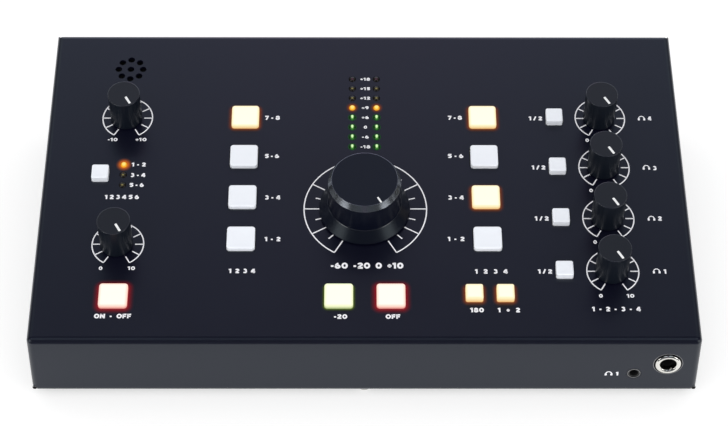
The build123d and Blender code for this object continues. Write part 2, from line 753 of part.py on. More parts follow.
def mini_jacks():
    """Front headphone socket and rear auxiliary socket."""
    width, length, over = mini_body
    x = mini_front[0]
    front_body = span((x - width / 2, y_front + socket_seat, audio_top),
                      (x + width / 2, y_front + socket_seat + length, mini_front_z + over))
    rear_body = span((mini_rear_x - width / 2, wall_inner - length, audio_top),
                     (mini_rear_x + width / 2, wall_inner, audio_top + 2 * over))
    return group([
        mini_jack(front_body, at_front(x, mini_front_z), socket_seat),
        mini_jack(rear_body, at_rear(mini_rear_x, audio_top + over), tray_sheet),
    ])


def line_jacks():
    """Stacked pairs of 6.35 mm line sockets along the rear wall."""
    width, length, over = line_body
    nose_end = line_nut[1] + nose_past_nut
    housing = span((-width / 2, wall_inner - length, audio_top),
                   (width / 2, wall_inner, line_rows[-1] + over))
    for z in line_rows:
        housing += at_rear(0, z) * post(line_nose_radius, -tray_sheet, nose_end)
        housing -= at_rear(0, z) * post(phone_bore, bore_end_wall - tray_sheet - length, nose_end + overrun)
    return group(Pos(line_first_x + column * line_pitch, 0, 0) * housing for column in range(line_columns))


def panel_nuts():
    """Nuts of the dials and of the line sockets."""
    nuts = [on_panel(*main_dial) * dial_nut(main_nut, main_bushing)]
    nuts += [on_panel(u, v) * dial_nut(small_nut, small_bushing) for u, v in small_dials().values()]
    socket_nut = dial_nut(line_nut, (line_nose_radius, line_nut[1]))
    nuts += [at_rear(x, z) * socket_nut for x, z in line_sockets()]
    return group(nuts)


def coax_socket():
    """Coaxial phono socket: body on the board and barrel through the wall."""
    width, length = coax_body
    radius, reach = coax_barrel
    body = span((coax_x - width / 2, wall_inner - length, audio_top),
                (coax_x + width / 2, wall_inner, coax_height + width / 2))
    barrel = post(radius, -tray_sheet, reach)
    ring = post(radius - coax_collar, reach - coax_collar, reach + overrun)
    ring -= post(coax_pin_bore + coax_collar, 0, reach + overrun)
    bore = post(coax_pin_bore, -tray_sheet - length / 2, reach + overrun)
    place = at_rear(coax_x, coax_height)
    return body + place * (barrel - ring) - place * bore


def optical_socket():
    """Optical digital socket with a square mouth."""
    width, length, height = optical_body
    body = span((optical_x - width / 2, wall_inner - length, audio_top),
                (optical_x + width / 2, wall_inner, audio_top + height))
    snout_side = width - 2 * sheet - 2 * wall_hole_gap
    snout = block(snout_side, snout_side - sheet, -tray_sheet, optical_proud)
    mouth = block(optical_mouth, optical_mouth, optical_proud - optical_depth, optical_proud + overrun)
    place = at_rear(optical_x, optical_axis())
    return body + place * snout - place * mouth


def power_inlet():
    """Low-voltage power inlet with its centre pin."""
    width, length, height = power_body
    body = span((power_x - width / 2, wall_inner - length, audio_top),
                (power_x + width / 2, wall_inner, audio_top + height))
    bore = post(power_bore, -power_bore_depth, overrun)
    pin = post(power_pin, -power_bore_depth, -tray_sheet)
    place = at_rear(power_x, power_axis())
    return body - place * bore + place * pin


def power_switch():
    """Rocker switch housing snapped into the rear wall."""
    flange_width_x, flange_height_z, flange_thick = switch_flange
    body_width, body_height, body_depth = switch_body
    cavity_width, cavity_height, cavity_depth = switch_cavity
    housing = slab(flange_width_x, flange_height_z, 0, flange_thick, flange_thick / 2)
    housing += block(body_width, body_height, -body_depth, 0)
    housing -= block(cavity_width, cavity_height, flange_thick - cavity_depth, flange_thick + overrun)
    housing -= Rot(0, 90, 0) * Cylinder(rocker_pin_radius + fit_gap, 2 * (rocker_pin_reach + fit_gap))
    return at_rear(*switch_place) * housing


def power_rocker():
    """Rocker on its two pivot pins, tipped to the ON side."""
    outer_end, outer_middle = rocker_outer
    inner_end, inner_middle = rocker_inner
    reach = rocker_half_length
    inner_reach = reach - outer_end / 2
    outline = Polyline((-reach, outer_end), (0, outer_middle), (reach, outer_end), (inner_reach, -inner_end),
                       (0, -inner_middle), (-inner_reach, -inner_end), close=True)
    body = Pos(-rocker_width / 2, 0, 0) * extrude(Plane.YZ * make_face(outline), rocker_width)
    pins = Rot(0, 90, 0) * Cylinder(rocker_pin_radius, 2 * rocker_pin_reach)
    return at_rear(*switch_place) * Rot(rocker_tilt, 0, 0) * (body + pins)


# ---------------------------------------------------------------- the assembly
nodes["top_cover"] = top_cover()
nodes["base_tray"] = base_tray()
nodes["rubber_feet"] = group(Pos(x, y, 0) * rubber_foot() for x, y in feet_places())
nodes["machine_screws"] = machine_screws()
nodes["control_board"] = control_board()
nodes["audio_board"] = audio_board()
nodes["board_spacers"] = board_spacers()
nodes["ribbon_cable"] = ribbon_cable()

for name, ((u, v), size) in all_keys().items():
    nodes[name] = on_panel(u, v) * key_cap(size)
nodes["key_switches"] = key_switches()
nodes["key_lights"] = key_lights()

pot_block = block(*small_pot, -board_depth, -sheet)
small_pot_solid = dial_pot(pot_block, small_shaft, small_wiper, small_bushing)
for name, (u, v) in small_dials().items():
    nodes[f"{name}_knob"] = on_panel(u, v) * small_knob()
    nodes[f"{name}_shaft"] = on_panel(u, v) * dial_shaft(small_shaft, small_wiper)
nodes["small_pots"] = group(on_panel(u, v) * small_pot_solid for u, v in small_dials().values())
nodes["main_knob"] = on_panel(*main_dial) * main_knob()
nodes["main_shaft"] = on_panel(*main_dial) * dial_shaft(main_shaft, main_wiper)
main_pot_body = post(main_pot_radius, -board_depth, -sheet)
nodes["main_pot"] = on_panel(*main_dial) * dial_pot(main_pot_body, main_shaft, main_wiper, main_bushing)
nodes["panel_nuts"] = panel_nuts()

for colour, places in lamps().items():
    nodes[f"{colour}_lamps"] = group(on_panel(u, v) * lamp() for u, v in places)
nodes["mic_boot"] = on_panel(*mic_place) * mic_boot()
nodes["mic_capsule"] = on_panel(*mic_place) * mic_capsule()

nodes["front_jack"] = front_jack()
nodes["front_jack_nose"] = front_jack_nose()
nodes["mini_jacks"] = mini_jacks()
nodes["line_jacks"] = line_jacks()
nodes["coax_socket"] = coax_socket()
nodes["optical_socket"] = optical_socket()
nodes["power_inlet"] = power_inlet()
nodes["power_switch"] = power_switch()
nodes["power_rocker"] = power_rocker()

os.makedirs("parts", exist_ok=True)
for name, shape in nodes.items():
    export_step(shape, f"parts/{name}.step")
print(len(nodes), "nodes written")
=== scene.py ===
import json
from math import pi, radians

import bmesh
import bpy
import numpy as np
from bpy.props import FloatProperty, FloatVectorProperty, PointerProperty
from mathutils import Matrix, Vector


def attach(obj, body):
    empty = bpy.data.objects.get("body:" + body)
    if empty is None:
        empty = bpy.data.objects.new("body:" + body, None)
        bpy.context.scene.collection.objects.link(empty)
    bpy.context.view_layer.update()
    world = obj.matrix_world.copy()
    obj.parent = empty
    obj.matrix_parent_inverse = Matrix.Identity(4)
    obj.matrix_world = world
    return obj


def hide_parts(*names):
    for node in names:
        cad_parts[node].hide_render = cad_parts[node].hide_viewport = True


bl_info = {
    "name": "Studio monitor controller",
    "version": (1, 0, 0),
    "blender": (4, 5, 0),
    "location": "3D View > Sidebar > Controller",
    "description": "Paint, printing, knobs, lit keys, lamps and sockets of a desktop monitor controller",
    "category": "Object",
}

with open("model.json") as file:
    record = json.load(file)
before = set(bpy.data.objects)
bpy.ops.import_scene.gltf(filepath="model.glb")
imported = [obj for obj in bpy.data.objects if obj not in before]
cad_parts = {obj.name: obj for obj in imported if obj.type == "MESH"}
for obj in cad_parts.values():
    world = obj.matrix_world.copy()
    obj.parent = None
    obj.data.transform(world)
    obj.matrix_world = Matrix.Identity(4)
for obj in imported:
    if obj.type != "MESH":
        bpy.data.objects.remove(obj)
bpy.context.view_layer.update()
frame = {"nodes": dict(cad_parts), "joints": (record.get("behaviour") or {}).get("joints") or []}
JOINTS = {joint["name"]: joint for joint in frame["joints"]}
MM = 0.001

# The panel's frame, from the main dial's joint: right, up the slope, and out of the panel.
MAIN_DIAL = (0.45, 64.2)
RIGHT = np.array((1.0, 0.0, 0.0))
NORMAL = np.array(JOINTS["main_turn"]["axis"])
UPHILL = np.cross(NORMAL, RIGHT)
PANEL_ORIGIN = (np.array(JOINTS["main_turn"]["pos_m"]) - UPHILL * MAIN_DIAL[1] * MM) * (0, 1, 1)
REAR_WALL_Y = JOINTS["power_rocker_tip"]["pos_m"][1]

# Where things are on the panel, in millimetres right of its middle and up from the front fold. A key also
# has the colour of its light.
PHONES_ROWS = (111.7, 85.53, 59.36, 33.19)
KEY_ROWS = (111.7, 90.7, 69.7, 48.7)
SMALL_DIALS = {
    "input": (-100.2, 111.7),
    "talkback": (-100.2, 46.4),
    **{f"phones_{row + 1}": (100.2, v) for row, v in enumerate(PHONES_ROWS)},
}
LARGE_KEYS = {
    "talkback_key": (-100.4, 20.7, "red"),
    "dim_key": (-10.3, 20.7, "lime"),
    "mute_key": (10.6, 20.7, "red"),
    **{f"source_key_{row + 1}": (-50.25, v, "white" if row else "amber") for row, v in enumerate(KEY_ROWS)},
    **{f"speaker_key_{row + 1}": (50.25, v, ("amber", "white")[row % 2]) for row, v in enumerate(KEY_ROWS)},
}
SMALL_KEYS = {
    "polarity_key": (43.95, 21.9, "amber"),
    "mono_key": (56.4, 21.9, "amber"),
    "input_key": (-109.7, 81.7, "white"),
    **{f"phones_key_{row + 1}": (80.65, v, "white") for row, v in enumerate(PHONES_ROWS)},
}
METER_COLUMNS = (-4.95, 5.35)
METER_ROWS = [96.4 + step * 5.243 for step in range(8)]
INPUT_LAMPS = [(-100.25, 86.9), (-100.25, 81.6), (-100.25, 76.4)]

# Plain numbers on the panel: words, from u, to u, v, height.
LABELS = [
    ("7 - 8", -42.0, -35.7, 111.9, 2.1), ("5 - 6", -41.6, -35.6, 91.5, 2.1),
    ("3 - 4", -41.1, -34.6, 70.0, 2.1), ("1 - 2", -40.6, -34.2, 49.0, 2.1),
    ("1 2 3 4", -54.7, -44.0, 33.3, 2.1),
    ("7 - 8", 35.6, 41.6, 112.0, 2.1), ("5 - 6", 35.1, 41.6, 91.6, 2.1),
    ("3 - 4", 34.6, 41.2, 70.0, 2.1), ("1 - 2", 34.0, 40.8, 49.1, 2.1),
    ("1 2 3 4", 44.6, 57.8, 33.1, 2.1),
    ("1 / 2", 70.0, 75.7, 111.7, 2.1), ("1 / 2", 70.0, 75.7, 85.6, 2.1),
    ("1 / 2", 70.0, 75.7, 59.4, 2.1), ("1 / 2", 70.0, 75.7, 33.1, 2.1),
    ("4", 120.6, 122.1, 111.7, 2.1), ("3", 120.6, 122.1, 85.3, 2.1),
    ("2", 120.6, 122.1, 59.4, 2.1), ("1", 120.8, 121.8, 33.1, 2.1),
    ("1 - 2 - 3 - 4", 90.7, 110.1, 15.0, 2.1),
    ("180", 42.1, 47.5, 14.5, 2.1), ("1 + 2", 53.1, 61.9, 14.5, 2.1),
    ("ON - OFF", -107.4, -92.7, 11.6, 2.1), ("-20", -12.2, -6.9, 11.4, 2.1),
    ("OFF", 8.4, 14.2, 11.4, 2.1), ("-60 -20 0 +10", -13.6, 15.7, 35.9, 2.85),
    ("1 - 2", -97.0, -91.2, 87.0, 2.0), ("3 - 4", -97.2, -91.0, 81.5, 2.0),
    ("5 - 6", -97.3, -91.4, 76.4, 2.0), ("1 2 3 4 5 6", -107.1, -93.0, 70.2, 2.1),
    ("-10", -107.9, -103.8, 100.2, 1.7), ("+10", -96.2, -91.6, 100.2, 1.7),
    ("0", -107.1, -105.7, 34.6, 1.7), ("10", -95.5, -92.5, 34.6, 1.7),
    ("0", 93.4, 94.8, 100.0, 1.7), ("0", 93.3, 94.8, 73.7, 1.7), ("0", 93.3, 94.7, 47.6, 1.7),
    ("0", 93.9, 95.3, 21.3, 1.7), ("10", 105.0, 108.0, 21.3, 1.7),
]
PHONES_SIGN_U = 117.9
METER_NUMBERS = [("-18", 4.2), ("-6", 3.0), ("0", 1.3), ("+6", 3.0), ("+9", 3.0),
                 ("+12", 4.2), ("+15", 4.2), ("+18", 4.2)]      # with their widths
METER_NUMBERS_MIDDLE = 0.6
METER_NUMBERS_HEIGHT = 1.55
DIAL_ENDS = (-60, 240)          # degrees, from the right towards the top

# Printing beside the small front socket, at its distance below the front fold, and over the line sockets.
FRONT_LABEL = ("1", 100.6, 101.6, 0, 2.1)
FRONT_SIGN_X = 97.7
FRONT_LABEL_DROP = 19.4
REAR_NUMBERS_X = [113.6 - 17.0 * column for column in range(8)]
REAR_NUMBERS_Z = 45.2
REAR_NUMBERS_HEIGHT = 2.1

# What glossy surfaces see: brightness by degrees up from the rear over the top to the front, tint and the
# front boxes' brightness by how far to the side the direction points.
TENT_HOOP = [(-180, 0.14), (-155, 0.14), (-100, 0.04), (-60, 0.9), (0, 1.1), (46, 1.2), (53, 1.0), (58, 1.10),
             (61, 0.27), (64, 0.14), (70, 0.18), (78, 0.09), (95, 0.05), (155, 0.05), (179, 0.14)]
TENT_TINTS = [(0, (1.20, 0.96, 1.30)), (0.05, (1.14, 0.94, 1.25)), (0.11, (0.68, 0.84, 1.02)),
              (0.25, (0.85, 0.93, 1.0)), (0.99, (0.85, 0.93, 1.0))]
TENT_BOXES = [(0, 0.06), (0.08, 0.13), (0.18, 1.15), (0.5, 1.15), (0.65, 0.15), (0.99, 0.15)]


# ---------------------------------------------------------------- places
def axis_place(dial):
    """Where a dial's axis meets the panel, (u, v) in metres, from its joint."""
    offset = np.array(JOINTS[f"{dial}_turn"]["pos_m"]) - PANEL_ORIGIN
    return offset @ RIGHT, offset @ UPHILL


def on_panel(points):
    """Places of points (u, v, h) in metres: origin + u right + v uphill + h normal."""
    return PANEL_ORIGIN + points @ np.stack([RIGHT, UPHILL, NORMAL])


def on_front(points):
    """Places of points (x, distance below the front fold, distance out of the front face)."""
    return PANEL_ORIGIN + points @ np.array([(1, 0, 0), (0, 0, -1), (0, -1, 0)])


def on_front_line(points):
    """Places of points (x, up from the middle of the front printing, distance out of the front face)."""
    return on_front(points * (1, -1, 1) + (0, FRONT_LABEL_DROP * MM, 0))


def on_rear(points):
    """Places of points (right as seen from behind, z, distance out of the rear wall)."""
    return np.array((0, REAR_WALL_Y, 0)) + points @ np.array([(-1, 0, 0), (0, 0, 1), (0, 1, 0)])


# ---------------------------------------------------------------- surfaces
def soften(points, reach, steps=6):
    """Outline with rounded corners: each inner corner becomes the quadratic curve
    (1-t)^2 A + 2t(1-t) C + t^2 B, where A and B lie at the given reach before and after the corner C."""
    points = np.asarray(points, float)
    corner = points[1:-1]
    reach = np.broadcast_to(reach, len(corner))[:, None]
    back = points[:-2] - corner
    ahead = points[2:] - corner
    start = corner + back * reach / np.linalg.norm(back, axis=1, keepdims=True)
    end = corner + ahead * reach / np.linalg.norm(ahead, axis=1, keepdims=True)
    t = np.linspace(0, 1, steps)[None, :, None]
    curves = (1 - t) ** 2 * start[:, None] + 2 * t * (1 - t) * corner[:, None] + t ** 2 * end[:, None]
    return np.concatenate([points[:1], curves.reshape(-1, 2), points[-1:]])


def revolve(profile, segments=96):
    """Surface of revolution: (r cos a, r sin a, h) for each profile point (r, h) and each angle a."""
    angle = np.linspace(0, 2 * pi, segments, endpoint=False)
    radius = profile[:, :1]
    height = profile[:, 1:] + 0 * angle
    return np.stack([radius * np.cos(angle), radius * np.sin(angle), height], axis=-1)


def rounded_outline(half_width, half_depth, corner, steps=7):
    """Rectangle with quarter-circle corners: corner centre + corner (cos a, sin a), a in four quarters."""
    quarter = np.linspace(0, pi / 2, steps)
    angle = (np.arange(4)[:, None] * pi / 2 + quarter).ravel()
    centre_x = (half_width - corner) * np.repeat((1, -1, -1, 1), steps)
    centre_y = (half_depth - corner) * np.repeat((1, 1, -1, -1), steps)
    return np.stack([centre_x + corner * np.cos(angle), centre_y + corner * np.sin(angle)], axis=-1)


def inset_stack(width, depth, corner, profile):
    """Rounded rectangles stacked over each other: for each profile point (inset, height), the outline
    moved in by the inset, its corner radius less the inset but never under a tenth of it."""
    rows = []
    for inset, height in profile:
        radius = max(corner - inset, corner / 10)
        outline = rounded_outline(width / 2 - inset, depth / 2 - inset, radius)
        rows.append(np.column_stack([outline, np.full(len(outline), height)]))
    return np.stack(rows)


def with_ends(rows):
    """The rows with one more before and after them, shrunk to the middle of the row beside it."""
    ends = rows[[0, -1]].mean(axis=1, keepdims=True) + 0 * rows[[0, -1]]
    return np.concatenate([ends[:1], rows, ends[1:]])


def ribbon(path, width, low, high):
    """Flat bar along a path: the path moved half the width to each side, at two heights."""
    path = np.asarray(path, float)
    along = np.gradient(path, axis=0)
    along /= np.linalg.norm(along, axis=1, keepdims=True)
    side = np.stack([-along[:, 1], along[:, 0]], axis=-1) * width / 2
    left = path + side
    right = path - side
    flat = np.stack([left, right, right, left], axis=1)
    height = np.broadcast_to(np.array((high, high, low, low))[None, :, None], (*flat.shape[:2], 1))
    return with_ends(np.concatenate([flat, height], axis=-1))


def spoke(centre, inner, outer, angle):
    """Radial line of a dial: centre + r (cos a, sin a), from the inner to the outer radius."""
    direction = np.array((np.cos(radians(angle)), np.sin(radians(angle))))
    return centre + np.linspace(inner, outer, 3)[:, None] * direction


def bow(centre_x, centre_y, across, tall, start, end, steps=13):
    """Part of an ellipse: centre + (across cos a, tall sin a), the angle a in degrees from start to end."""
    angle = np.radians(np.linspace(start, end, steps))
    return np.stack([centre_x + across * np.cos(angle), centre_y + tall * np.sin(angle)], axis=-1)


def patch(grid, at=(0, 0), slot=0, shade=None, wraps=True):
    """Grid of points moved by (u, v) as vertices and quads, with a material slot, and a shade value for
    each point."""
    rows, cols = grid.shape[:2]
    row = np.arange(rows - 1)[:, None] * cols
    col = np.arange(cols if wraps else cols - 1)[None, :]
    after = (col + 1) % cols
    quads = np.stack([row + col, row + after, row + cols + after, row + cols + col], -1)
    shade = np.zeros((rows, cols)) if shade is None else np.broadcast_to(shade, (rows, cols))
    return (grid + (*at, 0)).reshape(-1, 3), quads.reshape(-1, 4).tolist(), slot, shade.ravel()


# ---------------------------------------------------------------- figures
# Each mark's width and strokes, in a height of 1. Widths of strokes and gaps are on the same scale.
STROKE = 0.29
MARK_GAP = 0.14
WORD_GAP = 0.3
LEAST_WORD_GAP = 0.2
GLYPHS = {
    "0": (0.86, [bow(0.43, 0.5, 0.305, 0.375, -90, 270, 25)]),
    "1": (0.52, [[(0.02, 0.73), (0.22, 0.86), (0.30, 0.88)], [(0.34, 0.0), (0.34, 1.0)]]),
    "2": (0.80, [bow(0.40, 0.66, 0.27, 0.215, 165, -25, 11), [(0.62, 0.62), (0.12, 0.14)],
                 [(0.06, 0.125), (0.78, 0.125)]]),
    "3": (0.80, [bow(0.38, 0.70, 0.24, 0.175, 150, -90, 11), bow(0.38, 0.33, 0.28, 0.205, 90, -150, 11)]),
    "4": (0.86, [[(0.52, 0.94), (0.08, 0.32)], [(0.04, 0.30), (0.84, 0.30)], [(0.60, 0.0), (0.60, 1.0)]]),
    "5": (0.80, [[(0.16, 0.875), (0.74, 0.875)], [(0.20, 0.95), (0.16, 0.52)],
                 bow(0.38, 0.34, 0.28, 0.215, 125, -150, 13)]),
    "6": (0.84, [bow(0.42, 0.33, 0.28, 0.205, -90, 270, 21), bow(0.66, 0.36, 0.52, 0.52, 175, 105, 9)]),
    "7": (0.78, [[(0.02, 0.875), (0.76, 0.875)], [(0.64, 0.84), (0.26, 0.0)]]),
    "8": (0.84, [bow(0.42, 0.71, 0.24, 0.165, -90, 270, 21), bow(0.42, 0.31, 0.29, 0.19, -90, 270, 21)]),
    "9": (0.84, [bow(0.42, 0.67, 0.28, 0.205, -90, 270, 21), bow(0.18, 0.64, 0.52, 0.52, -5, -75, 9)]),
    "-": (0.42, [[(0.02, 0.42), (0.40, 0.42)]]),
    "+": (0.58, [[(0.0, 0.45), (0.58, 0.45)], [(0.29, 0.16), (0.29, 0.74)]]),
    "/": (0.50, [[(0.04, 0.0), (0.46, 1.0)]]),
    "O": (0.98, [bow(0.49, 0.5, 0.365, 0.375, -90, 270, 25)]),
    "N": (0.92, [[(0.125, 0.0), (0.125, 1.0)], [(0.15, 0.95), (0.77, 0.05)], [(0.795, 0.0), (0.795, 1.0)]]),
    "F": (0.74, [[(0.125, 0.0), (0.125, 1.0)], [(0.1, 0.875), (0.72, 0.875)], [(0.1, 0.46), (0.64, 0.46)]]),
}


def printed(path, width, ink):
    """Bar of ink along a path. The path and the width are in millimetres."""
    return patch(ribbon(np.asarray(path) * MM, width * MM, *ink))


def figures(text, left, right, middle, height, ink):
    """Bold wide figures that fill left to right, in millimetres: each is drawn by bars along its strokes.
    Figures of one word stand close together and the rest of the room goes between the words. Where that
    leaves too little, all of them are squeezed."""
    words = text.split()
    widths = [sum(GLYPHS[mark][0] + MARK_GAP for mark in word) - MARK_GAP for word in words]
    room = (right - left) / height
    between = (room - sum(widths)) / max(len(words) - 1, 1)
    squeeze = 1.0
    if len(words) == 1 or between < LEAST_WORD_GAP:
        squeeze = room / (sum(widths) + WORD_GAP * (len(words) - 1))
        between = WORD_GAP
    patches = []
    pen = 0.0
    for word in words:
        for mark in word:
            advance, strokes = GLYPHS[mark]
            for stroke in strokes:
                path = (np.asarray(stroke, float) + (pen, 0)) * (squeeze * height, height)
                path += (left, middle - height / 2)
                patches.append(printed(path, STROKE * height, ink))
            pen += advance + MARK_GAP
        pen += between - MARK_GAP
    return patches


def headphone_sign(u, v, ink):
    """Small headphone sign, in millimetres: a half ring over two upright bars."""
    radius = 1.15
    signs = [printed(bow(u, v, radius, radius, 0, 180, 16), 0.4, ink)]
    for side in (-1, 1):
        cup = [(u + side * radius, v + rise) for rise in (0.1, -0.5, -1.0)]
        signs.append(printed(cup, 0.8, ink))
    return signs


# ---------------------------------------------------------------- meshes and pieces
def build_mesh(name, patches, place, sharp=35.0):
    """One mesh of patches, put in place, its seams closed, with normals outwards and edges sharp past an
    angle."""
    points, faces, slots, shades = [], [], [], []
    count = 0
    for patch_points, patch_faces, slot, shade in patches:
        points.append(place(patch_points))
        faces += [[index + count for index in face] for face in patch_faces]
        slots += [slot] * len(patch_faces)
        shades.append(shade)
        count += len(patch_points)
    mesh = bpy.data.meshes.new(name)
    mesh.from_pydata(np.concatenate(points).tolist(), [], faces)
    mesh.polygons.foreach_set("material_index", slots)
    mesh.attributes.new("shade", "FLOAT", "POINT").data.foreach_set("value", np.concatenate(shades))
    work = bmesh.new()
    work.from_mesh(mesh)
    bmesh.ops.remove_doubles(work, verts=work.verts, dist=1e-7)
    bmesh.ops.recalc_face_normals(work, faces=work.faces)
    work.to_mesh(mesh)
    work.free()
    mesh.shade_smooth()
    mesh.set_sharp_from_angle(angle=radians(sharp))
    return mesh


def add_piece(name, patches, place, finishes, body, replaces=(), sharp=35.0):
    """Object of patches with its finishes: it rides on a body and may stand for CAD nodes."""
    mesh = build_mesh(name, patches, place, sharp)
    piece = bpy.data.objects.new(name, mesh)
    bpy.context.scene.collection.objects.link(piece)
    for finish in finishes:
        mesh.materials.append(MATERIALS[finish])
    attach(piece, body)
    if replaces:
        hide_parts(*replaces)


# ---------------------------------------------------------------- shader effects
def set_inputs(tree, node, inputs):
    """Fills a node's inputs, by name or number: a socket is linked, and anything else is a value."""
    for key, value in inputs.items():
        if isinstance(value, bpy.types.NodeSocket):
            tree.links.new(value, node.inputs[key])
        else:
            node.inputs[key].default_value = value


def add_node(tree, kind, inputs=None, **settings):
    """Shader node with its settings, and its inputs as set_inputs fills them."""
    node = tree.nodes.new(kind)
    for key, value in settings.items():
        setattr(node, key, value)
    set_inputs(tree, node, inputs or {})
    return node


def compute(tree, operation, *values):
    """Output of a math node over values or sockets."""
    return add_node(tree, "ShaderNodeMath", dict(enumerate(values)), operation=operation).outputs[0]


def remap(tree, value, low, high, to_low=0.0, to_high=1.0, curve="SMOOTHSTEP"):
    """The value's run from low to high as a run from to_low to to_high, held outside it."""
    inputs = dict(enumerate((value, low, high, to_low, to_high)))
    return add_node(tree, "ShaderNodeMapRange", inputs, interpolation_type=curve).outputs[0]


def blend(tree, factor, first, second):
    """The first colour at factor 0, the second at 1."""
    inputs = {"Factor": factor, 6: first, 7: second}
    return add_node(tree, "ShaderNodeMix", inputs, data_type="RGBA").outputs[2]


def ramp(tree, value, stops):
    """Colour of a ramp with (place, colour) stops, the first of them at 0."""
    node = add_node(tree, "ShaderNodeValToRGB", {0: value})
    elements = node.color_ramp.elements
    for place, colour in stops:
        element = elements.new(place) if place > 0 else elements[0]
        element.color = (*colour, 1)
    elements.remove(elements[-1])
    return node.outputs[0]


def open_group(name, defaults):
    """Shader group and its named inputs, which are colours or values like their defaults."""
    group = bpy.data.node_groups.new(name, "ShaderNodeTree")
    for socket, default in defaults.items():
        kind = "NodeSocketColor" if isinstance(default, tuple) else "NodeSocketFloat"
        group.interface.new_socket(name=socket, in_out="INPUT", socket_type=kind).default_value = default
    return group, group.nodes.new("NodeGroupInput").outputs


def close_group(group, results):
    """The group with an output for each named result: Colour is a colour, and the others are values."""
    for name in results:
        kind = "NodeSocketColor" if name == "Colour" else "NodeSocketFloat"
        group.interface.new_socket(name=name, in_out="OUTPUT", socket_type=kind)
    set_inputs(group, group.nodes.new("NodeGroupOutput"), results)
    return group


def finish_group():
    """Grain and handling marks of a painted or moulded surface. Height is a fine noise; Colour is the
    base colour lightened and darkened by a broad noise; Roughness moves with the same broad noise."""
    group, given = open_group("grain_and_handling", {
        "Colour": (0.5, 0.5, 0.5, 1), "Variation": 0.1, "Grain per Metre": 3000.0, "Roughness": 0.4,
        "Handling": 0.06})
    where = add_node(group, "ShaderNodeTexCoord").outputs["Object"]
    fine = add_node(group, "ShaderNodeTexNoise",
                    {"Vector": where, "Scale": given["Grain per Metre"], "Detail": 3.0, "Roughness": 0.6})
    broad = add_node(group, "ShaderNodeTexNoise",
                     {"Vector": where, "Scale": 55.0, "Detail": 4.0, "Roughness": 0.55})
    centred = compute(group, "SUBTRACT", broad.outputs["Fac"], 0.5)
    factor = compute(group, "ADD", compute(group, "MULTIPLY", centred, given["Variation"]), 1.0)
    tinted = add_node(group, "ShaderNodeVectorMath", {0: given["Colour"], "Scale": factor}, operation="SCALE")
    handled = compute(group, "MULTIPLY_ADD", centred, given["Handling"], given["Roughness"])
    height = fine.outputs["Fac"]
    return close_group(group, {"Colour": tinted.outputs[0], "Roughness": handled, "Height": height})


def glow_group():
    """Light spread over a lit cap, or a painted highlight and faint painted glow over an unlit lens: the
    shade value runs from the inner colour over the rim to the wall.
    """
    group, given = open_group("inner_glow_and_painted_glint", {
        "Inner": (1, 1, 1, 1), "Rim": (1, 1, 1, 1), "Wall": (1, 1, 1, 1), "Rim At": 1.0, "Wall At": 2.0})
    shade = add_node(group, "ShaderNodeAttribute", attribute_name="shade").outputs["Fac"]
    first = blend(group, remap(group, shade, 0.0, given["Rim At"]), given["Inner"], given["Rim"])
    second = blend(group, remap(group, shade, given["Rim At"], given["Wall At"]), first, given["Wall"])
    return close_group(group, {"Colour": second})


# ---------------------------------------------------------------- materials
EFFECTS = {}
MATERIALS = {}
METAL = {"Metallic": 1.0}
KEY = ((0.14, 0.13, 0.11), 0.35, 1.0, 2.0)
LIT_LAMP = ((0.004, 0.004, 0.004), 0.3, 0.5, 1.0)
DARK_LAMP = ((0.006, 0.005, 0.004), 0.3, 0.5, 1.0)
# The moulding, as colour, roughness, and the shade values at its rim and wall; then the inner, rim and
# wall colour of the light in it.
GLOWING = {
    "key_amber": (KEY, (0.90, 0.90, 0.72), (0.88, 0.76, 0.42), (0.72, 0.32, 0.04)),
    "key_lime": (KEY, (0.88, 0.90, 0.78), (0.80, 0.86, 0.50), (0.12, 0.20, 0.01)),
    "key_red": (KEY, (0.94, 0.89, 0.80), (0.94, 0.62, 0.52), (0.50, 0.01, 0.015)),
    "lamp_green_lit": (LIT_LAMP, (0.72, 1.0, 0.50), (0.03, 0.22, 0.015), (0.0, 0.015, 0.0)),
    "lamp_amber_lit": (LIT_LAMP, (1.0, 0.80, 0.20), (0.95, 0.42, 0.01), (0.40, 0.08, 0.0)),
    # Unlit lamps: their emission is a painted highlight, a pale spot low on the lens, with faint painted glow
    # round it.
    "lamp_amber_off_painted_glint": (DARK_LAMP, (0.20, 0.17, 0.06), (0.022, 0.018, 0.004), (0.003, 0.002, 0.001)),
    "lamp_red_off_painted_glint": (DARK_LAMP, (0.055, 0.018, 0.035), (0.014, 0.004, 0.008), (0.002, 0.001, 0.001)),
}
# Light on the paint round a lit key or lamp.
SPILLS = {
    "amber": (0.24, 0.05, 0.010),
    "orange": (0.75, 0.16, 0.01),
    "red": (0.30, 0.006, 0.012),
    "lime": (0.09, 0.14, 0.006),
    "green": (0.01, 0.10, 0.01),
}


def new_material(name):
    """Material with its node tree and its shader."""
    material = bpy.data.materials.new(name)
    material.use_nodes = True
    return material, material.node_tree, material.node_tree.nodes["Principled BSDF"]


def add_effect(tree, name, inputs):
    """Outputs of one of the two effects with its inputs."""
    node = add_node(tree, "ShaderNodeGroup", node_tree=EFFECTS[name])
    set_inputs(tree, node, inputs)
    return node.outputs


def surface_material(name, colour, roughness, grain, bump=0.02, variation=0.12, handling=0.06, sockets=None):
    """Painted, moulded or plated finish: the grain group feeds colour, roughness and a bump."""
    material, tree, shader = new_material(name)
    finish = add_effect(tree, "finish", {
        "Colour": (*colour, 1), "Variation": variation, "Handling": handling, "Grain per Metre": grain,
        "Roughness": roughness})
    relief = add_node(tree, "ShaderNodeBump",
                      {"Strength": bump, "Distance": 0.2 * MM, "Height": finish["Height"]})
    set_inputs(tree, shader, {"Base Color": finish["Colour"], "Roughness": finish["Roughness"],
                              "Normal": relief.outputs["Normal"], **(sockets or {})})
    return material


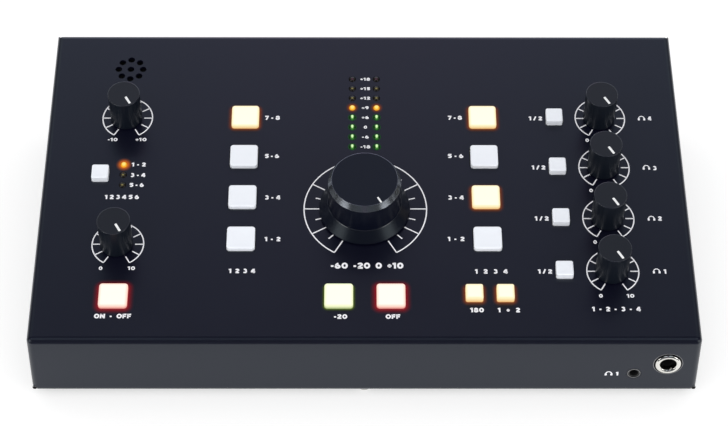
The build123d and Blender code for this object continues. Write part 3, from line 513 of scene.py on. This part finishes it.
def glowing_material(name, moulding, inner, rim, wall):
    """Translucent moulding lit from inside, or an unlit lens with a painted highlight: the glow group feeds
    the emission's colour.
    """
    base, roughness, rim_at, wall_at = moulding
    material = surface_material(name, base, roughness, 2500.0, 0.01)
    tree = material.node_tree
    glow = add_effect(tree, "glow", {"Inner": (*inner, 1), "Rim": (*rim, 1), "Wall": (*wall, 1),
                                     "Rim At": rim_at, "Wall At": wall_at})
    set_inputs(tree, tree.nodes["Principled BSDF"],
               {"Emission Color": glow["Colour"], "Emission Strength": 1.0})
    return material


def spill_material(name, colour):
    """Coloured light on the paint round a lamp: emission that fades out with the shade value."""
    material, tree, shader = new_material(name)
    shade = add_node(tree, "ShaderNodeAttribute", attribute_name="shade").outputs["Fac"]
    where = add_node(tree, "ShaderNodeTexCoord").outputs["Object"]
    grain = add_node(tree, "ShaderNodeTexNoise", {"Vector": where, "Scale": 900.0}).outputs["Fac"]
    speckle = remap(tree, grain, 0.0, 1.0, 0.85, 1.0, "LINEAR")
    set_inputs(tree, shader, {
        "Base Color": (0.012, 0.014, 0.019, 1), "Specular IOR Level": 0.0, "Roughness": 0.5,
        "Emission Color": (*colour, 1), "Emission Strength": 1.0,
        "Alpha": compute(tree, "MULTIPLY", compute(tree, "POWER", shade, 2.2), speckle),
    })
    return material


def make_materials(case, prints, knobs, keys):
    """Every finish of the object, by name: colour, roughness, grain per metre, bump, variation of the
    colour, handling marks, and other sockets of the shader."""
    EFFECTS["finish"] = finish_group()
    EFFECTS["glow"] = glow_group()
    finishes = {
        "case_paint": (case.paint, case.roughness, 2600.0, 0.012, 0.10, 0.04,
                       {"Specular Tint": (0.84, 0.95, 1.0, 1.0)}),
        "tray_paint": (case.tray, 0.45, 2200.0, 0.06),
        "ink": (prints.ink, 0.5, 4000.0, 0.02, 0.04),
        "knob_black": (knobs.colour, knobs.roughness, 3600.0, 0.012, 0.15, 0.08,
                       {"Specular IOR Level": 0.42}),
        "main_black": ((0.0016, 0.0024, 0.0085), 0.34, 3600.0, 0.010, 0.15, 0.06,
                       {"Specular IOR Level": 0.35, "Specular Tint": (0.80, 0.94, 1.0, 1.0)}),
        "knob_bevel": (knobs.bevel, 0.24, 5200.0, 0.010, 0.3, 0.12, METAL),
        "knob_rim": ((0.012, 0.014, 0.022), 0.22, 3600.0, 0.02, 0.1, 0.05, {"Specular IOR Level": 0.9}),
        "pointer": ((0.86, 0.87, 0.88), 0.45, 4000.0, 0.02, 0.03),
        "key_white": (keys.white, 0.32, 2500.0, 0.01, 0.02, 0.05),
        "rubber": ((0.02, 0.02, 0.02), 0.8, 3500.0, 0.2, 0.2),
        "steel": ((0.52, 0.52, 0.50), 0.32, 2600.0, 0.05, 0.15, 0.12, METAL),
        "bare_edge": ((0.30, 0.30, 0.31), 0.35, 2600.0, 0.03, 0.15, 0.1, METAL),
        "nickel": ((0.78, 0.77, 0.73), 0.12, 1800.0, 0.02, 0.10, 0.10, METAL),
        "brass": ((0.72, 0.52, 0.22), 0.28, 2200.0, 0.04, 0.12, 0.1, METAL),
        "board": ((0.02, 0.11, 0.05), 0.35, 1400.0, 0.06, 0.3),
        "ribbon": ((0.42, 0.43, 0.45), 0.5, 1500.0, 0.05),
        "socket_black": ((0.012, 0.012, 0.013), 0.42, 3000.0, 0.05, 0.2),
        "switch_black": ((0.012, 0.012, 0.014), 0.25, 3000.0, 0.02, 0.2),
        # The mic's dark felt, and the painted shade plugs in the corner relief holes.
        "felt_and_painted_shade": ((0.004, 0.004, 0.005), 0.9, 5000.0, 0.3, 0.3),
    }
    for name, values in finishes.items():
        MATERIALS[name] = surface_material(name, *values)
    for name, values in GLOWING.items():
        MATERIALS[name] = glowing_material(name, *values)
    for colour, light in SPILLS.items():
        MATERIALS[f"spill_{colour}"] = spill_material(f"spill_{colour}", light)


NODE_FINISHES = {
    "case_paint": ["top_cover"],
    "tray_paint": ["base_tray"],
    "rubber": ["rubber_feet"],
    "steel": ["machine_screws", "board_spacers", "small_pots", "main_pot", "panel_nuts", "main_shaft",
              *(f"{name}_shaft" for name in SMALL_DIALS)],
    "board": ["control_board", "audio_board"],
    "ribbon": ["ribbon_cable"],
    "brass": ["coax_socket"],
    "felt_and_painted_shade": ["mic_boot", "mic_capsule"],
    "socket_black": ["front_jack", "mini_jacks", "line_jacks", "optical_socket", "power_inlet",
                     "key_switches"],
    "switch_black": ["power_switch", "power_rocker"],
    "key_white": ["key_lights"],
}


# ---------------------------------------------------------------- sizes and colours
def a_length(name, description, default):
    """A length, with its default in millimetres."""
    return FloatProperty(name=name, description=description, unit="LENGTH", precision=5,
                         default=default * MM)


def a_place(name, description, default):
    """A place, with its default in millimetres."""
    return FloatVectorProperty(name=name, description=description, unit="LENGTH", precision=5,
                               size=len(default), default=[value * MM for value in default])


def a_colour(name, description, default):
    """A colour."""
    return FloatVectorProperty(name=name, description=description, subtype="COLOR", default=default)


def a_gloss(name, description, default):
    """A roughness from 0, a mirror, to 1."""
    return FloatProperty(name=name, description=description, subtype="FACTOR", min=0.0, max=1.0,
                         default=default)


class CaseLook(bpy.types.PropertyGroup):
    """Paint of the steel case."""
    paint: a_colour("Cover Paint", "Colour of the cover's powder coat", (0.0028, 0.0028, 0.0105))
    tray: a_colour("Tray Paint", "Colour of the tray's powder coat", (0.004, 0.005, 0.009))
    roughness: a_gloss("Paint Roughness", "Gloss of the cover's paint, 0 is a mirror", 0.30)


class PrintLook(bpy.types.PropertyGroup):
    """White printing on the panel, the front and the rear."""
    ink: a_colour("Ink", "Colour of the printing", (0.90, 0.90, 0.94))
    line: a_length("Line Width", "Width of the rings and ticks", 0.5)
    sunk: a_length("Ink Below", "How far the ink reaches into the paint", 0.02)
    raised: a_length("Ink Above", "How far the ink stands over the paint", 0.03)
    main_ring: a_length("Main Ring Radius", "Radius of the main dial's ring", 25.21)
    main_tick: a_length("Main Tick Radius", "Where the main dial's ticks begin", 18.5)
    short_tick: a_length("Short Tick Radius", "Where the main dial's short ticks end", 21.2)
    small_ring: a_length("Small Ring Radius", "Radius of each small dial's ring", 10.475)
    small_tick: a_length("Small Tick Radius", "Where a small dial's ticks begin", 7.0)


class KnobShape(bpy.types.PropertyGroup):
    """Sizes and finish of the turning knobs."""
    colour: a_colour("Knob Colour", "Colour of the moulded knobs", (0.0038, 0.0062, 0.0115))
    bevel: a_colour("Bevel Colour", "Colour of the main knob's turned bevel", (0.24, 0.26, 0.29))
    roughness: a_gloss("Knob Roughness", "Gloss of the knobs, 0 is a mirror", 0.38)
    small_radius: a_length("Small Knob Radius", "Radius at the foot of a small knob", 6.6)
    small_top: a_length("Small Knob Top Radius", "Radius at the top of a small knob", 6.7)
    small_height: a_length("Small Knob Height", "Height of a small knob over the panel", 16.4)
    main_height: a_length("Main Knob Height", "Height of the main knob over the panel", 20.4)


class KeyShape(bpy.types.PropertyGroup):
    """Sizes and colour of the push keys."""
    white: a_colour("Key White", "Colour of an unlit key", (0.87, 0.90, 0.96))
    large_width: a_length("Large Key Width", "Width of a large key", 11.5)
    large_depth: a_length("Large Key Depth", "Depth of a large key", 11.0)
    large_rise: a_length("Large Key Rise", "Height of a large key over the panel", 1.8)
    large_corner: a_length("Large Key Corner", "Corner radius of a large key", 1.3)
    small_side: a_length("Small Key Side", "Width and depth of a small key", 7.0)
    small_rise: a_length("Small Key Rise", "Height of a small key over the panel", 2.7)
    small_corner: a_length("Small Key Corner", "Corner radius of a small key", 0.8)


class LampShape(bpy.types.PropertyGroup):
    """Sizes of the indicator lamps."""
    radius: a_length("Lamp Radius", "Radius of a lamp's lens", 1.45)
    rise: a_length("Lamp Rise", "Height of the lens over the panel", 0.9)


class SocketShape(bpy.types.PropertyGroup):
    """Sizes of the front headphone sockets and the holes in the front face. A place is right of the
    middle, and below the front fold."""
    large_place: a_place("Large Socket Place", "Place of the large socket", (121.0, 13.6))
    small_place: a_place("Small Socket Place", "Place of the small socket", (107.8, 19.3))
    relief_place: a_place("Relief Place", "Place of the right corner's relief hole", (132.55, 28.2))
    large_hole: a_length("Large Hole", "Radius of the hole round the large socket", 5.72)
    small_hole: a_length("Small Hole", "Radius of the hole round the small socket", 2.38)
    relief_hole: a_length("Relief Hole", "Radius of a corner's relief hole", 0.78)
    bore: a_length("Large Bore", "Radius of the large socket's bore", 3.25)
    collar: a_length("Collar Radius", "Radius of the plated collar", 5.15)
    proud: a_length("Collar Proud", "How far the collar stands out", 0.8)


class StageLook(bpy.types.PropertyGroup):
    """Camera, floor and lights."""
    camera_place: a_place("Camera Place", "Camera from the middle of the front fold",
                          (-4.771, -604.697, 667.758))
    camera_turn: FloatVectorProperty(name="Camera Turn", description="Camera's pitch, yaw and roll", size=3,
                                     subtype="EULER", unit="ROTATION",
                                     default=(radians(47.8208), radians(-0.3366), radians(0.0446)))
    lens: FloatProperty(name="Lens", description="Focal length in millimetres on a 36 mm sensor",
                        unit="CAMERA", default=112.48)
    shift: FloatVectorProperty(name="Shift", description="Right and upward shift of the lens", size=2,
                               default=(-0.002858, -0.133929))
    ambient: FloatProperty(name="Ambient", description="Strength of the even light from all round",
                           default=1.0)
    side_power: FloatProperty(name="Side Power", description="Power of each side light", unit="POWER",
                              default=1.2)
    reach_front: a_length("Floor Front", "Where the floor ends in front", 122)


# ---------------------------------------------------------------- steps
class OBJECT_OT_controller_case(bpy.types.Operator):
    """Give the case, the boards and the sockets their finishes"""
    bl_idname = "object.controller_case"
    bl_label = "Case Finishes"

    def execute(self, context):
        scene = context.scene
        make_materials(scene.controller_case, scene.controller_prints, scene.controller_knobs,
                       scene.controller_keys)
        for finish, nodes in NODE_FINISHES.items():
            for node in nodes:
                mesh = frame["nodes"][node].data
                mesh.materials.clear()
                mesh.materials.append(MATERIALS[finish])
        return {"FINISHED"}


class OBJECT_OT_controller_prints(bpy.types.Operator):
    """Print the dial rings, ticks and numbers on the panel and beside the front sockets"""
    bl_idname = "object.controller_prints"
    bl_label = "Printing"

    def execute(self, context):
        look = context.scene.controller_prints
        ink = (-look.sunk, look.raised)
        start, end = DIAL_ENDS
        long_ticks = range(start, end + 1, 30)
        short_ticks = range(start + 15, end, 30)
        main = np.array(MAIN_DIAL) * MM
        bars = [bow(*main, look.main_ring, look.main_ring, start, end, 128)]
        bars += [spoke(main, look.main_tick, look.main_ring, angle) for angle in long_ticks]
        bars += [spoke(main, look.main_tick, look.short_tick, angle) for angle in short_ticks]
        for place in SMALL_DIALS.values():
            dial = np.array(place) * MM
            bars.append(bow(*dial, look.small_ring, look.small_ring, start, end, 64))
            bars += [spoke(dial, look.small_tick, look.small_ring, angle) for angle in long_ticks]
        patches = [patch(ribbon(bar, look.line, *ink)) for bar in bars]
        for v in PHONES_ROWS:
            patches += headphone_sign(PHONES_SIGN_U, v, ink)
        for label in LABELS:
            patches += figures(*label, ink)
        for (text, width), v in zip(METER_NUMBERS, METER_ROWS):
            left = METER_NUMBERS_MIDDLE - width / 2
            patches += figures(text, left, left + width, v, METER_NUMBERS_HEIGHT, ink)
        add_piece("panel_printing", patches, on_panel, ["ink"], "chassis")
        patches = figures(*FRONT_LABEL, ink) + headphone_sign(FRONT_SIGN_X, 0, ink)
        add_piece("front_printing", patches, on_front_line, ["ink"], "chassis")
        return {"FINISHED"}


def knob_pointer(inner, outer, width, height):
    """Painted bar on a knob's top at the full clockwise end, rounded at its corners."""
    inset = 0.49 * width
    foot = height - 0.05 * MM
    bar = inset_stack(outer - inner, width, 0.25 * width,
                      [(inset, foot), (0, foot), (0, height + 0.02 * MM), (inset, height + 0.03 * MM)])
    bar = bar + ((inner + outer) / 2, 0, 0)
    turn = radians(DIAL_ENDS[0])
    rotation = np.array([(np.cos(turn), np.sin(turn), 0), (-np.sin(turn), np.cos(turn), 0), (0, 0, 1)])
    return bar @ rotation


class OBJECT_OT_controller_small_knobs(bpy.types.Operator):
    """Build the six small knobs with their pointers"""
    bl_idname = "object.controller_small_knobs"
    bl_label = "Small Knobs"

    def execute(self, context):
        shape = context.scene.controller_knobs
        top = shape.small_height
        bevel = 0.24 * MM
        rim_start = (shape.small_top, top - bevel)
        rim_end = (shape.small_top - bevel, top)
        foot = 0.6 * MM
        side = soften([(0, foot), (shape.small_radius, foot), rim_start], 0.2 * MM)
        rim = soften([rim_start, (shape.small_top, top), rim_end], 0.22 * MM, 8)
        lid = np.array([rim_end, (3.0 * MM, top), (0, top)])
        pointer = knob_pointer(1.75 * MM, 5.85 * MM, 0.95 * MM, top)
        for name in SMALL_DIALS:
            place = axis_place(name)
            outlines = ((side, 0), (rim, 2), (lid, 0))
            patches = [patch(revolve(outline), place, slot) for outline, slot in outlines]
            patches.append(patch(pointer, place, 1))
            add_piece(f"{name}_grip", patches, on_panel, ["knob_black", "pointer", "knob_rim"],
                      f"{name}_dial", [f"{name}_knob"], 50.0)
        return {"FINISHED"}


class OBJECT_OT_controller_main_knob(bpy.types.Operator):
    """Build the main knob: skirt, grip, turned bevel and pointer"""
    bl_idname = "object.controller_main_knob"
    bl_label = "Main Knob"

    def execute(self, context):
        top = context.scene.controller_knobs.main_height
        foot = 0.8 * MM
        skirt_radius = 18.6 * MM
        skirt_top = (15.25 * MM, 5.67 * MM)
        waist = (15.15 * MM, 5.8 * MM)
        shoulder = (14.85 * MM, 17.9 * MM)
        bevel_top = (13.5 * MM, top - 0.1 * MM)
        rim_end = (13.3 * MM, top)
        skirt = soften([(0, foot), (skirt_radius, foot), (skirt_radius, foot + 0.5 * MM), skirt_top],
                       (0.15 * MM, 0.2 * MM))
        waist_line = np.array([skirt_top, (15.14 * MM, 5.81 * MM)])
        grip = soften([waist, (15.02 * MM, 5.95 * MM), shoulder], 0.05 * MM)
        bevel = np.array([shoulder, bevel_top])
        rim = soften([bevel_top, (13.45 * MM, top), rim_end], 0.06 * MM)
        lid = np.array([rim_end, (6.0 * MM, top), (0, top)])
        place = axis_place("main")
        outlines = ((skirt, 0), (waist_line, 3), (grip, 0), (bevel, 1), (rim, 1), (lid, 0))
        patches = [patch(revolve(outline, 160), place, slot) for outline, slot in outlines]
        patches.append(patch(knob_pointer(10.4 * MM, 13.35 * MM, 0.7 * MM, top), place, 2))
        add_piece("main_grip", patches, on_panel, ["main_black", "knob_bevel", "pointer", "knob_rim"],
                  "main_dial", ["main_knob"], 24.0)
        return {"FINISHED"}


def key_cap(width, depth, rise, corner):
    """Key cap: stacked rounded rectangles up the wall, over a rounded rim and in to a shallow dish.
    The shade value is 2 at the foot of the wall, 1 at the rim and falls to 0 in the dish."""
    foot = -1.4 * MM
    rim = 0.95 * MM
    slope = 0.5 * MM
    slope_drop = 0.09 * MM
    dish_drop = 0.12 * MM
    rounding = (0.55 * MM, 0.3 * MM)
    glow_reach = 1.3 * MM
    profile = soften([(0, foot), (0, rise), (rim, rise), (rim + slope, rise - slope_drop)], rounding, 8)
    middle = min(width, depth) / 2 * 0.96
    profile = np.concatenate([[(middle, foot)], profile, [(middle, rise - dish_drop)]])
    inset, height = profile[:, 0], profile[:, 1]
    shade = np.clip(1 - inset / glow_reach, 0, 1) + np.clip((rise - height) / rise, 0, 1)
    shade = np.concatenate([[2.0], shade, [0.0]])[:, None]
    return with_ends(inset_stack(width, depth, corner, profile)), shade


def light_spill(width, depth, corner, reach):
    """Flat ring round a lit key: rounded rectangles moved out step by step, fading from 1 to 0. It
    starts a little clear of the cap, which slides past it."""
    steps = np.linspace(0, 1, 8)
    clear = 0.04 * MM
    rings = inset_stack(width, depth, corner, [(-out, 0.02 * MM) for out in clear + steps * reach])
    return rings, (1 - steps)[:, None]


class OBJECT_OT_controller_keys(bpy.types.Operator):
    """Build the eighteen push keys and the light round the lit ones"""
    bl_idname = "object.controller_keys"
    bl_label = "Push Keys"

    def execute(self, context):
        shape = context.scene.controller_keys
        large = (shape.large_width, shape.large_depth, shape.large_rise, shape.large_corner)
        small = (shape.small_side, shape.small_side, shape.small_rise, shape.small_corner)
        reach = {"amber": 2.2 * MM, "lime": 1.4 * MM, "red": 3.0 * MM}
        spills = {light: [] for light in reach}
        for places, (width, depth, rise, corner) in ((LARGE_KEYS, large), (SMALL_KEYS, small)):
            cap, shade = key_cap(width, depth, rise, corner)
            for name, (u, v, light) in places.items():
                place = (u * MM, v * MM)
                add_piece(f"{name}_cap", [patch(cap, place, shade=shade)], on_panel, [f"key_{light}"], name,
                          [name], 60.0)
                if light in reach:
                    ring, fade = light_spill(width, depth, corner, reach[light])
                    spills[light].append(patch(ring, place, shade=fade))
        for light, patches in spills.items():
            add_piece(f"{light}_key_spill", patches, on_panel, [f"spill_{light}"], "chassis")
        return {"FINISHED"}


def lamp_lens(radius, rise, width, height, lift):
    """Round-topped lens: a short wall under a half sphere. The shade value is 0 in a spot of the given
    width and height, moved uphill by the lift, and rises to 1 away from it: the distance from the spot's
    middle, sqrt((x / width)^2 + ((y - lift) / height)^2), less a half, at most 1. On an unlit lens the
    spot, moved downhill, is a painted highlight."""
    base = rise - radius
    foot = base - 1.2 * MM
    quarter = np.linspace(0, pi / 2, 12)
    dome = np.stack([radius * np.cos(quarter), base + radius * np.sin(quarter)], axis=-1)
    grid = revolve(np.concatenate([[(0, foot), (radius, foot)], dome]), 32)
    shade = np.clip(np.hypot(grid[..., 0] / width, (grid[..., 1] - lift) / height) - 0.5, 0, 1)
    return grid, shade


class OBJECT_OT_controller_lamps(bpy.types.Operator):
    """Build the meter's lamps and the input lamps, lit and unlit"""
    bl_idname = "object.controller_lamps"
    bl_label = "Lamps"

    def execute(self, context):
        shape = context.scene.controller_lamps
        radius, rise = shape.radius, shape.rise
        tall = lamp_lens(radius, rise, 0.62 * MM, 1.15 * MM, 0.0)
        round_spot = lamp_lens(radius, rise, 1.0 * MM, 1.15 * MM, -0.1 * MM)
        # On an unlit lens the low spot carries a painted highlight.
        glint_spot = lamp_lens(radius, rise, 0.62 * MM, 0.42 * MM, -0.45 * MM)
        meter = [[(u, v) for u in METER_COLUMNS] for v in METER_ROWS]
        green = meter[0] + meter[1] + meter[2] + meter[3]
        lamps = {
            "green": [(tall, green, "lamp_green_lit")],
            "amber": [(round_spot, meter[4] + INPUT_LAMPS[:1], "lamp_amber_lit"),
                      (glint_spot, meter[5] + meter[6] + INPUT_LAMPS[1:], "lamp_amber_off_painted_glint")],
            "red": [(glint_spot, meter[7], "lamp_red_off_painted_glint")],
        }
        for colour, groups in lamps.items():
            patches = [patch(lens, (u * MM, v * MM), slot, shade)
                       for slot, ((lens, shade), places, finish) in enumerate(groups) for u, v in places]
            add_piece(f"{colour}_lenses", patches, on_panel, [finish for lens, places, finish in groups],
                      "chassis", [f"{colour}_lamps"], 60.0)
        spills = {"green": (green, 0.7), "amber": (meter[4], 1.7), "orange": (INPUT_LAMPS[:1], 2.3)}
        for colour, (places, reach) in spills.items():
            self.add_spill(colour, places, radius, reach * MM)
        return {"FINISHED"}

    def add_spill(self, colour, places, radius, reach):
        """Round spill of light on the paint, from the lens's edge outwards."""
        steps = np.linspace(0, 1, 7)
        ring = revolve(np.stack([radius + steps * reach, np.full(7, 0.02 * MM)], axis=-1), 32)
        patches = [patch(ring, (u * MM, v * MM), shade=(1 - steps)[:, None]) for u, v in places]
        add_piece(f"{colour}_lamp_spill", patches, on_panel, [f"spill_{colour}"], "chassis")


class OBJECT_OT_controller_front_sockets(bpy.types.Operator):
    """Build the plated collar, its contacts, the bare edges of the front's holes, and a dark plug of painted
    shade in each corner's relief hole
    """
    bl_idname = "object.controller_front_sockets"
    bl_label = "Front Sockets"

    def execute(self, context):
        shape = context.scene.controller_sockets
        self.add_collar(shape.large_place, shape.bore, shape.collar, shape.proud)
        leaves = self.contacts(*shape.large_place, shape.bore)
        add_piece("phones_contacts", leaves, on_front, ["nickel"], "chassis")
        edges = []
        for place, radius in ((shape.large_place, shape.large_hole), (shape.small_place, shape.small_hole)):
            lip = self.hole_edge(radius, 0.24 * MM, (0.05 * MM, 0.03 * MM), -0.8 * MM)
            edges.append(patch(revolve(lip, 64), place))
        # Each corner's relief hole holds a dark plug 0.55 mm in: painted shade for the hole's dark inside.
        inner, floor = shape.relief_hole, -0.55 * MM
        lip = self.hole_edge(inner, 0.17 * MM, (-0.22 * MM, -0.3 * MM), -0.9 * MM)
        dark = np.array([(inner, -1.2 * MM), (inner, floor), (0, floor)])
        for side in (-1, 1):
            place = (side * shape.relief_place[0], shape.relief_place[1])
            edges += [patch(revolve(lip, 32), place), patch(revolve(dark, 32), place, 1)]
        add_piece("hole_edges_and_shade_plugs", edges, on_front, ["bare_edge", "felt_and_painted_shade"], "chassis")
        return {"FINISHED"}

    def add_collar(self, place, bore, collar, proud):
        """Ring round the bore, its front half an ellipse: (ring + thick cos a, proud - rise + rise sin a)."""
        seat = -2.0 * MM
        ring = (bore + collar) / 2
        thick = (collar - bore) / 2
        rise = 0.65 * thick
        way = np.linspace(pi, 0, 17)
        lip = np.stack([ring + thick * np.cos(way), proud - rise + rise * np.sin(way)], axis=-1)
        rounded = np.concatenate([[(bore, seat)], lip, [(collar, seat), (bore, seat)]])
        add_piece("phones_collar", [patch(revolve(rounded, 72), place)], on_front, ["nickel"], "chassis",
                  ["front_jack_nose"], 50.0)

    def hole_edge(self, radius, width, heights, foot):
        """Outline of a hole's edge: up from the foot, over the two heights and down again."""
        outer = radius + width
        return soften([(radius, foot), (radius, heights[0]), (outer, heights[1]), (outer, foot)], 0.04 * MM)

    def contacts(self, x, drop, bore):
        """Two leaf springs in the bore: each a strip whose distance from the wall follows one arch of a
        sine."""
        half_width, gap, arch, length = 1.1 * MM, 0.1 * MM, 1.0 * MM, 4.0 * MM
        patches = []
        t = np.linspace(0, 1, 14)[:, None]
        across = np.linspace(-1, 1, 5)[None, :] * half_width
        inward = (bore - gap) - arch * np.sin(pi * t) + 0 * across
        for angle, deep in ((215, -5.0 * MM), (60, -9.0 * MM)):
            depth = deep - length * (t - 0.5) + 0 * across
            turn = radians(angle)
            right = inward * np.cos(turn) - across * np.sin(turn)
            down = inward * np.sin(turn) + across * np.cos(turn)
            patches.append(patch(np.stack([x + right, drop + down, depth], axis=-1), wraps=False))
        return patches


class OBJECT_OT_controller_rear_details(bpy.types.Operator):
    """Number the line sockets on the rear wall"""
    bl_idname = "object.controller_rear_details"
    bl_label = "Rear Details"

    def execute(self, context):
        look = context.scene.controller_prints
        ink = (-look.sunk, look.raised)
        half_width = 0.8
        patches = []
        for column, x in enumerate(REAR_NUMBERS_X):
            patches += figures(str(column + 1), x - half_width, x + half_width, REAR_NUMBERS_Z,
                               REAR_NUMBERS_HEIGHT, ink)
        add_piece("rear_printing", patches, on_rear, ["ink"], "chassis")
        return {"FINISHED"}


class OBJECT_OT_controller_stage(bpy.types.Operator):
    """Set up the floor, the lights, the world and the camera"""
    bl_idname = "object.controller_stage"
    bl_label = "Stage"

    def execute(self, context):
        scene = context.scene
        look = scene.controller_stage
        self.add_floor(scene, look.reach_front)
        self.light_world(scene, look.ambient)
        aside, ahead, above = 0.70, -0.50, 0.16
        light_size = (0.36, 0.40)
        for side in (-1, 1):
            place = (side * aside, ahead, above)
            self.add_light(f"side_light_{side + 2}", place, light_size, look.side_power)
        camera = bpy.data.objects.new("camera", bpy.data.cameras.new("camera"))
        camera.data.lens = look.lens
        camera.data.sensor_width = 36.0
        camera.data.clip_start = 0.01
        camera.data.shift_x, camera.data.shift_y = look.shift
        camera.location = Vector(PANEL_ORIGIN) + Vector(look.camera_place)
        camera.rotation_mode = "ZYX"
        camera.rotation_euler = look.camera_turn
        scene.collection.objects.link(camera)
        scene.camera = camera
        scene.view_settings.view_transform = "Standard"
        return {"FINISHED"}

    def add_floor(self, scene, reach_front):
        """Wide pale floor at z = 0, short in front: a plain grid (x, y, 0)."""
        reach_side, reach_back = 4, 6
        x, y = np.meshgrid(np.linspace(-reach_side, reach_side, 9), np.linspace(-reach_front, reach_back, 9))
        grid = np.stack([x, y, 0 * x], axis=-1)
        mesh = build_mesh("floor", [patch(grid, wraps=False)], np.asarray)
        floor = bpy.data.objects.new("floor", mesh)
        scene.collection.objects.link(floor)
        mesh.materials.append(surface_material(
            "floor_white", (0.62, 0.62, 0.62), 0.7, 400.0, 0.0, 0.0, 0.0,
            {"Specular IOR Level": 0.1, "Emission Color": (1, 1, 1, 1), "Emission Strength": 0.52}))

    def light_world(self, scene, ambient):
        """Even light for the surfaces, stronger from the front; pale grey for what the camera and clear
        pieces see; and for gloss a tent: a hoop of light by the angle atan2(z, y) over the object, and
        boxes of light high in front of it."""
        world = bpy.data.worlds.new("studio")
        scene.world = world
        world.use_nodes = True
        tree = world.node_tree
        tree.nodes.clear()
        way = add_node(tree, "ShaderNodeTexCoord").outputs["Generated"]
        x, y, z = add_node(tree, "ShaderNodeSeparateXYZ", {0: way}).outputs
        aside = compute(tree, "ABSOLUTE", x)
        turned = remap(tree, compute(tree, "ARCTAN2", z, y), -pi, pi, curve="LINEAR")
        hoop = ramp(tree, turned, [((angle + 180) / 360, (level,) * 3) for angle, level in TENT_HOOP])
        hoop = compute(tree, "MULTIPLY", hoop, remap(tree, aside, 0.35, 0.8, 1.0, 0.15))
        boxes = ramp(tree, aside, [(across, (level,) * 3) for across, level in TENT_BOXES])
        front_top = compute(tree, "MULTIPLY", remap(tree, z, 0.60, 0.80), remap(tree, y, 0.0, -0.35))
        boxes = compute(tree, "MULTIPLY", boxes, front_top)
        tent = self.background(tree, {"Color": ramp(tree, aside, TENT_TINTS),
                                      "Strength": compute(tree, "MAXIMUM", boxes, hoop)})
        fill = remap(tree, y, 0.0, -1.0, ambient, 1.8 * ambient, "LINEAR")
        even = self.background(tree, {"Strength": fill})
        path = add_node(tree, "ShaderNodeLightPath").outputs
        seen = compute(tree, "MAXIMUM", path["Is Camera Ray"], path["Is Transmission Ray"])
        lit = add_node(tree, "ShaderNodeMixShader", {0: path["Is Glossy Ray"], 1: even, 2: tent}).outputs[0]
        final = add_node(tree, "ShaderNodeMixShader", {0: seen, 1: lit, 2: self.background(tree, {})})
        add_node(tree, "ShaderNodeOutputWorld", {"Surface": final.outputs[0]})

    def background(self, tree, inputs):
        """Output of a background shader: pale grey at strength 1 where the inputs don't say otherwise."""
        return add_node(tree, "ShaderNodeBackground", inputs).outputs[0]

    def add_light(self, name, place, size, power):
        """Soft rectangular light aimed at the object's middle."""
        light = bpy.data.lights.new(name, "AREA")
        light.shape = "RECTANGLE"
        light.size, light.size_y = size
        light.energy = power
        lamp = bpy.data.objects.new(name, light)
        lamp.location = place
        aim = Vector((0, 0, 0.03)) - Vector(place)
        lamp.rotation_euler = aim.to_track_quat("-Z", "Y").to_euler()
        bpy.context.scene.collection.objects.link(lamp)


# ---------------------------------------------------------------- panel and registration
OPERATORS = (
    OBJECT_OT_controller_case,
    OBJECT_OT_controller_prints,
    OBJECT_OT_controller_small_knobs,
    OBJECT_OT_controller_main_knob,
    OBJECT_OT_controller_keys,
    OBJECT_OT_controller_lamps,
    OBJECT_OT_controller_front_sockets,
    OBJECT_OT_controller_rear_details,
    OBJECT_OT_controller_stage,
)
SETTINGS = {
    "controller_case": CaseLook,
    "controller_prints": PrintLook,
    "controller_knobs": KnobShape,
    "controller_keys": KeyShape,
    "controller_lamps": LampShape,
    "controller_sockets": SocketShape,
    "controller_stage": StageLook,
}


class VIEW3D_PT_controller(bpy.types.Panel):
    """Sidebar panel with every step and its settings"""
    bl_label = "Monitor Controller"
    bl_idname = "VIEW3D_PT_controller"
    bl_space_type = "VIEW_3D"
    bl_region_type = "UI"
    bl_category = "Controller"

    def draw(self, context):
        for name, settings in SETTINGS.items():
            box = self.layout.box()
            group = getattr(context.scene, name)
            for key in settings.__annotations__:
                box.prop(group, key)
        for operator in OPERATORS:
            self.layout.operator(operator.bl_idname)


def register():
    for cls in (*SETTINGS.values(), *OPERATORS, VIEW3D_PT_controller):
        bpy.utils.register_class(cls)
    for name, settings in SETTINGS.items():
        setattr(bpy.types.Scene, name, PointerProperty(type=settings))


def unregister():
    for name in SETTINGS:
        delattr(bpy.types.Scene, name)
    for cls in (VIEW3D_PT_controller, *OPERATORS, *SETTINGS.values()):
        bpy.utils.unregister_class(cls)


def main():
    register()
    for operator in OPERATORS:
        group, step = operator.bl_idname.split(".")
        getattr(getattr(bpy.ops, group), step)()
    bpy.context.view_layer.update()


if __name__ == "__main__":
    main()
